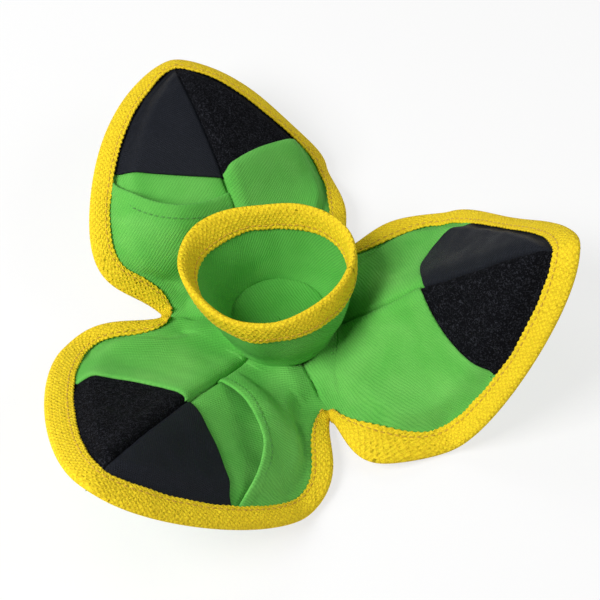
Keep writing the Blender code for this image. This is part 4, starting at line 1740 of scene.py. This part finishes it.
        def place(w: np.ndarray, h: np.ndarray) -> np.ndarray:
            """World point of the tape's section at each station.

            Args:
                w: Distance inward from the tape's nose.
                h: Height above the middle of the fold.

            Returns:
                One row of points for each station.
            """
            inner = w / pat.tape_width
            w = w * (1.0 + (wide - 1.0) * inner) + wobble[:, None] * inner**6
            flat = edge[:, None, :] + way[:, None, :] * w[..., None]
            h = h + (lift + gather)[:, None] * inner * (h > 0.0)
            return self.raised(flat[..., 0], flat[..., 1], h)

        name = f"{self.pose.name}_edge_tape"
        piece = dress(tape.sweep(name, place, run, False), self.finishes.tape)
        rows = []
        for label, sign in (("upper", 1.0), ("lower", -1.0)):
            path, normals = tape.seam_line(place, len(run), sign)
            stitches = Stitch().row(f"{self.pose.name}_tape_stitches_{label}", path, normals)
            rows.append(dress(stitches, self.finishes.tape_thread))
        return [piece, *rows]

    # Assembly

    def fold(self, piece: bpy.types.Object) -> bpy.types.Object:
        """Bake the piece's placement into its mesh; the piece does not bend at the hinge.

        Args:
            piece: The piece.

        Returns:
            The same piece.
        """
        pat, turn = self.pattern, math.radians(self.pose.azimuth)

        def at(p: float) -> tuple[float, float, float]:
            """World point at hinge height, outward along the ridge."""
            r = pat.hinge_radius + p
            return (r * math.cos(turn), r * math.sin(turn), pat.hinge_height)

        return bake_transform(piece)

    def build(self) -> list[bpy.types.Object]:
        """Build and dress every piece of the petal.

        Returns:
            The pieces; only the cover, the patches and the mouth stitches ride on the petal's body.
        """
        name = self.pose.name
        cover = self.build_cover()
        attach(cover, name)
        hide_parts(f"{name}_cover", f"{name}_padding")
        loop_panel = self.fold(self.build_loop_panel())
        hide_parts(f"{name}_loop_side_panel")
        pocket = self.fold(self.build_pocket())
        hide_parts(f"{name}_pocket", "base_cover")
        extras = []
        if self.pose.gape > 0.0:
            extras.append(self.build_pocket_stitches())
            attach(extras[0], name)
        for side, node in ((Side.HOOK, "hook_patch"), (Side.LOOP, "loop_patch")):
            patch = self.build_patch(side)
            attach(patch, name)
            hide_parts(f"{name}_{node}")
            extras.append(patch)
        underside = self.fold(self.build_underside())
        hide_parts(f"{name}_underside")
        tape, *stitches = [self.fold(piece) for piece in self.build_tape()]
        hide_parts(f"{name}_binding", f"notch_binding_{self.notch}")
        return [cover, loop_panel, pocket, *extras, underside, tape, *stitches]


@dataclass(frozen=True)
class FoldedTape:
    """Section of a webbing tape folded over an edge: two flat legs and a narrow nose."""

    width: float
    half_gap: float
    nose_gap: float
    thickness: float
    seam_share: float = 0.78
    seam_proud_share: float = 0.9
    outer_shape: tuple[tuple[float, float], ...] = (
        (1.0, 0.45),
        (0.985, 0.86),
        (0.95, 1.0),
        (0.88, 1.04),
        (0.82, 0.98),
        (0.78, 0.90),
        (0.74, 0.98),
        (0.66, 1.08),
        (0.54, 1.12),
        (0.42, 1.1),
        (0.30, 1.0),
        (0.19, 0.82),
        (0.10, 0.5),
        (0.035, -0.2),
    )
    inner_shape: tuple[tuple[float, float], ...] = (
        (0.11, 0.0),
        (0.15, 0.5),
        (0.24, 0.9),
        (0.45, 1.0),
        (0.75, 1.0),
        (0.97, 1.0),
    )

    def gap(self, shares: np.ndarray) -> np.ndarray:
        """Height of a leg's inner face, at shares of the width from the nose."""
        return self.nose_gap + (self.half_gap - self.nose_gap) * smooth(shares)

    def section(self) -> np.ndarray:
        """Closed section as (w, h) pairs, w inward from the nose and h up.

        Returns:
            One pair for each corner of the section.
        """
        shares, proud = np.array(self.outer_shape).T
        outer = list(zip(shares * self.width, self.gap(shares) + self.thickness * proud))
        shares, rise = np.array(self.inner_shape).T
        inner = list(zip(shares * self.width, self.gap(shares) * rise))
        under = [(w, -h) for w, h in outer[::-1]]
        back = [(w, -h) for w, h in inner[:0:-1]]
        return np.array(outer + [(0.0, 0.0)] + under + back + inner)

    def sweep(self, name: str, place: Place, run: np.ndarray, closed: bool) -> bpy.types.Object:
        """Tape swept along its stations.

        Args:
            name: Name of the piece.
            place: Turns (w, h) grids into world points, one row for each station.
            run: Distance of each station along the tape.
            closed: True where the tape meets itself.

        Returns:
            The new piece.
        """
        section = self.section()
        w = np.broadcast_to(section[None, :, 0], (len(run), len(section)))
        h = np.broadcast_to(section[None, :, 1], w.shape)
        points = place(w, h)
        steps = np.linalg.norm(np.diff(section, axis=0, append=section[:1]), axis=1)
        girth = np.concatenate([[0.0], np.cumsum(steps)[:-1]])
        flat = np.stack(np.broadcast_arrays(run[:, None], girth[None, :]), axis=-1)
        return tube(name, points, flat, closed)

    def seam_line(self, place: Place, count: int, sign: float) -> tuple[np.ndarray, np.ndarray]:
        """Line of the stitches on one leg.

        Args:
            place: Turns (w, h) grids into world points.
            count: Number of stations.
            sign: 1 for the top leg and -1 for the bottom leg.

        Returns:
            The points of the line and the directions out of the tape.
        """
        probe = 0.0005
        high = (float(self.gap(self.seam_share)) + self.seam_proud_share * self.thickness) * sign
        w = np.full((count, 1), self.seam_share * self.width)
        base = place(w, np.full((count, 1), high))[:, 0]
        above = place(w, np.full((count, 1), high + probe * sign))[:, 0]
        return base, unit(above - base)


# Base and bowl


@dataclass
class Base:
    """Skin under the middle of the pouch."""

    finishes: FinishSet
    hinge_radius: float = 0.031
    side_trim: float = 0.0005
    corner_trim: float = 0.0130
    thickness: float = 0.0008
    edge_rise: float = 0.0010
    edge_rise_start: Ramp = Ramp(0.8, 0.2)

    def build(self) -> list[bpy.types.Object]:
        """Build and dress the skin that the pouch rests on.

        Returns:
            The one piece, riding on the root.
        """
        turns = np.linspace(0.0, 2.0 * math.pi, 96, endpoint=False)
        off = (turns + HALF_SECTOR) % (2.0 * HALF_SECTOR) - HALF_SECTOR
        side = (self.hinge_radius - self.side_trim) / np.cos(off)
        corner = self.hinge_radius / math.cos(HALF_SECTOR) - self.corner_trim
        reach = np.minimum(side, corner / np.cos(HALF_SECTOR - np.abs(off)))
        shares = np.array([0.02, 0.2, 0.4, 0.6, 0.8, 0.93, 1.0])[:, None]
        radius = shares * reach[None, :]
        x, y = radius * np.cos(turns), radius * np.sin(turns)
        z = self.thickness / 2.0 + self.edge_rise * self.edge_rise_start.over(shares) + 0.0 * x
        points = np.stack([x, y, z], axis=-1)
        piece = cloth(
            "base_skin",
            points,
            np.stack([x, y], axis=-1),
            self.thickness,
            wrap=True,
            held=Held.LAID,
            rests_on=("base_padding",),
        )
        dress(piece, self.finishes.canvas)
        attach(piece, "root")
        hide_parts("base_underside", "base_padding")
        return [piece]


@dataclass
class Bowl:
    """Two-ply cloth bowl with a floor and a taped rim."""

    finishes: FinishSet
    base_radius: float = 0.0245
    rim_radius: float = 0.0368
    height: float = 0.038
    bulge: float = 0.0016
    lean: float = 0.0082
    lean_azimuth: float = 138.0
    oval: float = 0.0032
    oval_azimuth: float = 19.0
    lobe: float = 0.0014
    lobe_azimuth: float = 36.0
    floor_level: float = 0.00905
    canvas: float = 0.0008
    layer_gap: float = 0.00035
    rim_width: float = 0.0115
    segments: int = 144
    fine_fold: Ripple = Ripple(0.0006, 0.011, 40.0)
    broad_fold: Ripple = Ripple(0.0009, 0.022, 43.0)
    fold_power: float = 0.7
    foot_roll: float = 0.0016
    foot_run: float = 0.10
    inner_foot_share: float = -0.4
    rim_ease: float = 0.001
    floor_edge_rise: float = 0.0007
    floor_waves: Ripple = Ripple(0.0003, 0.014, 60.0)

    def point(self, turn: np.ndarray, share: np.ndarray, offset: np.ndarray) -> np.ndarray:
        """Point on the wall: share 0 at the foot and 1 at the rim, offset outward.

        Args:
            turn: Angle round the bowl.
            share: Share of the way from the foot to the rim.
            offset: Distance outward.

        Returns:
            Points with a last axis of three.
        """
        lean = math.radians(self.lean_azimuth)
        swell = self.lobe * np.cos(PETALS * (turn - math.radians(self.lobe_azimuth)))
        swell = swell + self.oval * np.cos(2.0 * (turn - math.radians(self.oval_azimuth)))
        radius = self.base_radius + (self.rim_radius - self.base_radius) * share
        radius = radius + self.bulge * np.sin(math.pi * np.clip(share, 0.0, 1.0)) + swell * share
        radius = radius + offset
        shift = self.lean * share * share
        x = radius * np.cos(turn) + shift * math.cos(lean)
        y = radius * np.sin(turn) + shift * math.sin(lean)
        return np.stack([x, y, self.floor_level + self.height * share + 0.0 * x], axis=-1)

    def folds(self, turn: np.ndarray, share: np.ndarray) -> np.ndarray:
        """Soft upright folds of the wall.

        Args:
            turn: Angle round the bowl.
            share: Share of the way from the foot to the rim.

        Returns:
            Distances outward.
        """
        ring, fine_climb, broad_climb = 0.03, 0.01, 0.02
        x, y = np.cos(turn) * ring, np.sin(turn) * ring
        height = self.fine_fold.over(x, y + share * fine_climb)
        height = height + self.broad_fold.over(x, y + share * broad_climb)
        return height * np.sin(math.pi * np.clip(share, 0.0, 1.0)) ** self.fold_power

    def ply(self, name: str, low: float, offset: float, rows: int) -> bpy.types.Object:
        """One ply of the wall.

        Args:
            name: Name of the piece.
            low: Share at which the ply starts.
            offset: Distance outward from the wall's middle.
            rows: Number of rows.

        Returns:
            The new piece.
        """
        turns = np.linspace(0.0, 2.0 * math.pi, self.segments, endpoint=False)
        shares = np.linspace(low, 1.0, rows)
        turn, share = np.meshgrid(turns, shares)
        foot_share = 1.0 if offset > 0.0 else self.inner_foot_share
        foot = Roll(self.foot_roll, self.foot_run, low).over(share) * foot_share
        points = self.point(turn, share, offset + self.folds(turn, share) + foot)
        slant = math.hypot(self.height, self.rim_radius - self.base_radius)
        flat = np.stack([turn * (self.rim_radius + self.rim_ease), share * slant], axis=-1)
        return cloth(name, points, flat, self.canvas, True, Held.STRETCHED, ("base_cover",))

    def build_rim(self) -> list[bpy.types.Object]:
        """Webbing tape folded over the rim, with a row of stitches on each leg.

        Returns:
            The tape and its rows of stitches.
        """
        cut = RimRelief()
        tape = FoldedTape(self.rim_width, half_gap=0.0012, nose_gap=0.0011, thickness=0.0010)
        turns = np.linspace(0.0, 2.0 * math.pi, 336, endpoint=False)
        run = turns * self.rim_radius
        nose_room = tape.nose_gap + self.canvas / 2.0 + self.layer_gap
        ring = np.cos(turns) * cut.ring_radius, np.sin(turns) * cut.ring_radius
        wobble = cut.wobble.over(*ring) + cut.teeth(run, cut.tooth_stray.over(*ring))
        wave = cut.lift.over(*ring)

        def place(w: np.ndarray, h: np.ndarray) -> np.ndarray:
            """World point of the rim tape's section at each station.

            Args:
                w: Distance inward from the tape's nose.
                h: Height above the middle of the fold.

            Returns:
                One row of points for each station.
            """
            inner = w / self.rim_width
            share = 1.0 + (nose_room - w - wobble[:, None] * inner**2) / self.height
            fold = self.folds(np.broadcast_to(turns[:, None], share.shape), share)
            return self.point(turns[:, None], share, h + fold + wave[:, None] * (1.0 - inner))

        piece = dress(tape.sweep("bowl_rim_tape", place, run, True), self.finishes.tape)
        threads = []
        for label, sign in (("outer", 1.0), ("inner", -1.0)):
            path, normals = tape.seam_line(place, len(run), sign)
            path, normals = [np.concatenate([rows, rows[:1]]) for rows in (path, normals)]
            stitches = Stitch(pitch=0.0031).row(f"bowl_rim_stitches_{label}", path, normals)
            threads.append(dress(stitches, self.finishes.tape_thread))
        return [piece, *threads]

    def build_floor(self) -> bpy.types.Object:
        """Round cloth floor with a shallow sag.

        Returns:
            The new piece.
        """
        turns = np.linspace(0.0, 2.0 * math.pi, 96, endpoint=False)
        shares = np.linspace(0.02, 1.0, 14)[:, None]
        radius = shares * (self.base_radius - self.canvas)
        x, y = radius * np.cos(turns), radius * np.sin(turns)
        z = self.floor_level + self.canvas + self.floor_edge_rise * shares**4
        points = np.stack([x, y, z + self.floor_waves.over(x, y)], axis=-1)
        flat = np.stack([x, y], axis=-1)
        return cloth("bowl_floor_cloth", points, flat, self.canvas, True, Held.LAID, ("base_cover",))

    def build(self) -> list[bpy.types.Object]:
        """Build and dress the bowl.

        Returns:
            The pieces, all riding on the root.
        """
        half_ply = (self.canvas + self.layer_gap) / 2.0
        wall = dress(self.ply("bowl_outer_ply", 0.0, half_ply, 34), self.finishes.canvas)
        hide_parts("bowl_wall")
        # The inner ply and the floor wear the darker canvas copy, which paints the shade inside the bowl.
        shaded_lining = dress(self.ply("bowl_inner_ply", 0.03, -half_ply, 34), self.finishes.shaded_lining)
        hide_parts("bowl_lining")
        floor = dress(self.build_floor(), self.finishes.shaded_lining)
        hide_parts("bowl_floor")
        rim, *stitches = self.build_rim()
        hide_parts("bowl_rim_binding")
        pieces = [wall, shaded_lining, floor, rim, *stitches]
        for piece in pieces:
            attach(piece, "root")
        return pieces


# Studio


@dataclass(frozen=True)
class Studio:
    """Camera, floor and lamps."""

    azimuth: float = 6.37
    elevation: float = 56.15
    distance: float = 0.892
    lens: float = 109.7
    aim_right: float = 0.0098
    aim_up: float = 0.01454
    sensor: float = 36.0
    nearest: float = 0.01
    farthest: float = 20.0
    lamp_aim_height: float = 0.03
    floor_half: float = 6.0
    floor_glow_share: float = 0.72
    world_light: float = 0.06

    def axes(self) -> tuple[Vector, Vector, Vector]:
        """Directions to the camera's back, right and up.

        Returns:
            Three unit directions.
        """
        turn, rise = math.radians(self.azimuth), math.radians(self.elevation)
        back = Vector((math.sin(turn) * math.cos(rise), -math.cos(turn) * math.cos(rise), math.sin(rise)))
        right = Vector((math.cos(turn), math.sin(turn), 0.0))
        return back, right, back.cross(right)

    def build_camera(self) -> None:
        """Camera at the photograph's viewing angle."""
        back, right, up = self.axes()
        data = bpy.data.cameras.new("camera")
        data.lens, data.sensor_width, data.sensor_fit = self.lens, self.sensor, "HORIZONTAL"
        data.clip_start, data.clip_end = self.nearest, self.farthest
        camera = bpy.data.objects.new("camera", data)
        position = back * self.distance
        target = right * self.aim_right + up * self.aim_up
        way = (position - target).normalized()
        side = Vector((0.0, 0.0, 1.0)).cross(way).normalized()
        turn = Matrix((side, way.cross(side), way)).transposed()
        camera.matrix_world = Matrix.Translation(position) @ turn.to_4x4()
        bpy.context.collection.objects.link(camera)
        bpy.context.scene.camera = camera

    def build_lamp(self, name: str, place: tuple[float, float, float], size: float, power: float) -> None:
        """Square soft lamp that looks at the pouch.

        Args:
            name: Name of the lamp.
            place: Position in metres.
            size: Side of the lamp in metres.
            power: Power in watts.
        """
        data = bpy.data.lights.new(name, "AREA")
        data.shape, data.size, data.energy = "SQUARE", size, power
        lamp = bpy.data.objects.new(name, data)
        lamp.location = place
        way = Vector(place) - Vector((0.0, 0.0, self.lamp_aim_height))
        lamp.rotation_euler = way.to_track_quat("Z", "Y").to_euler()
        bpy.context.collection.objects.link(lamp)

    def build_floor(self) -> None:
        """Plain pale floor."""
        size = self.floor_half
        mesh = bpy.data.meshes.new("floor")
        corners = [(-size, -size, 0.0), (size, -size, 0.0), (size, size, 0.0), (-size, size, 0.0)]
        mesh.from_pydata(corners, [], [(0, 1, 2, 3)])
        floor = bpy.data.objects.new("floor", mesh)
        bpy.context.collection.objects.link(floor)
        kit = Nodes("floor_white")
        kit.finish((0.90, 0.90, 0.90, 1.0), 0.9, 0.0, 0.1)
        glow = kit.add("ShaderNodeEmission")
        glow.inputs["Strength"].default_value = 1.0
        mix = kit.add("ShaderNodeMixShader")
        path = kit.add("ShaderNodeLightPath")
        seen = kit.math("MAXIMUM", path.outputs["Is Camera Ray"], path.outputs["Is Glossy Ray"])
        kit.plug(kit.times(seen, self.floor_glow_share), mix.inputs[0])
        kit.plug(kit.shader.outputs[0], mix.inputs[1])
        kit.plug(glow.outputs[0], mix.inputs[2])
        kit.plug(mix.outputs[0], kit.tree.nodes["Material Output"].inputs[0])
        floor.data.materials.append(kit.material)

    def build_world(self) -> None:
        """Even pale surroundings, white where the camera sees them."""
        world = bpy.data.worlds.new("studio")
        world.use_nodes = True
        bpy.context.scene.world = world
        tree = world.node_tree
        ground = tree.nodes["Background"]
        path = tree.nodes.new("ShaderNodeLightPath")
        strength = tree.nodes.new("ShaderNodeMapRange")
        tree.links.new(path.outputs["Is Camera Ray"], strength.inputs["Value"])
        strength.inputs["To Min"].default_value = self.world_light
        strength.inputs["To Max"].default_value = 1.0
        tree.links.new(strength.outputs[0], ground.inputs["Strength"])
        ground.inputs["Color"].default_value = (1.0, 1.0, 1.0, 1.0)

    def build(self) -> None:
        """Build the whole studio."""
        self.build_camera()
        self.build_floor()
        self.build_world()
        self.build_lamp("key", (-0.75, -0.45, 0.95), 0.60, 17.0)
        self.build_lamp("back", (-0.65, 0.75, 0.85), 0.60, 3.4)
        self.build_lamp("side", (1.00, 0.20, 0.70), 0.70, 4.4)
        self.build_lamp("fill", (0.85, -0.75, 0.70), 0.80, 1.2)
        bpy.context.scene.view_settings.view_transform = "Standard"


POSES = (
    Pose(
        "petal_a",
        azimuth=0.0,
        pitch=46.0,
        droop=12.5,
        hook_fall=28.0,
        hook_edge_fall=-7.4,
        loop_fall=38.0,
        loop_edge_fall=-3.0,
        sway_share=-0.044,
        hook_gathers=(Gather(0.22, 0.104, 0.036), Gather(0.05, 0.022, 0.016)),
        loop_gathers=(Gather(-0.30, 0.006, 0.015),),
        ridge_shift_share=0.004,
        arch_power=1.2,
        hook_tilt_share=-0.036,
        hook_arch_share=-0.078,
        loop_tilt_share=0.03,
        loop_arch_share=-0.022,
        tape_shares=(1.0, 1.0, 1.0, 1.0, 0.86, 0.95, 0.80),
    ),
    Pose(
        "petal_b",
        azimuth=120.0,
        pitch=55.0,
        droop=77.0,
        hook_fall=3.0,
        hook_edge_fall=-1.5,
        loop_fall=19.5,
        loop_edge_fall=9.0,
        sway_share=-0.078,
        hook_gathers=(Gather(0.045, 0.075, 0.050),),
        loop_gathers=(Gather(0.13, 0.023, 0.020), Gather(0.10, 0.088, 0.034)),
        gape=0.011,
        mouth_inner_share=0.93,
        mouth_outer_share=1.01,
        mouth_sag_share=0.085,
        mouth_power=5.0,
        hook_tilt_share=0.012,
        loop_tilt_share=-0.075,
        tape_shares=(0.84, 0.88, 0.88, 0.92, 0.97, 0.90, 0.60),
    ),
    Pose(
        "petal_c",
        azimuth=240.0,
        pitch=29.5,
        droop=1.0,
        hook_fall=20.5,
        hook_edge_fall=-1.5,
        loop_fall=18.5,
        loop_edge_fall=-8.6,
        sway_share=0.10,
        gape=0.011,
        mouth_inner_share=0.73,
        mouth_outer_share=1.02,
        mouth_sag_share=0.075,
        hook_tilt_share=0.03,
        loop_arch_share=-0.040,
        tape_shares=(0.80, 0.74, 0.92, 1.10, 1.12, 0.95, 0.85),
    ),
)


def main() -> None:
    """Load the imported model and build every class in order."""
    logging.basicConfig(level=logging.INFO, format="%(name)s: %(message)s")
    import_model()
    studio = Studio()
    studio.build()
    finishes = FinishSet()
    pieces = Base(finishes).build() + Bowl(finishes).build()
    pattern = Pattern()
    for index, pose in enumerate(POSES):
        pieces += Petal(pattern, pose, finishes, seed=1.0 + 31.0 * index, notch=index + 1).build()
    for piece in pieces:
        LOG.info("%s: %d faces", piece.name, len(piece.data.polygons))


if __name__ == "__main__":
    main()
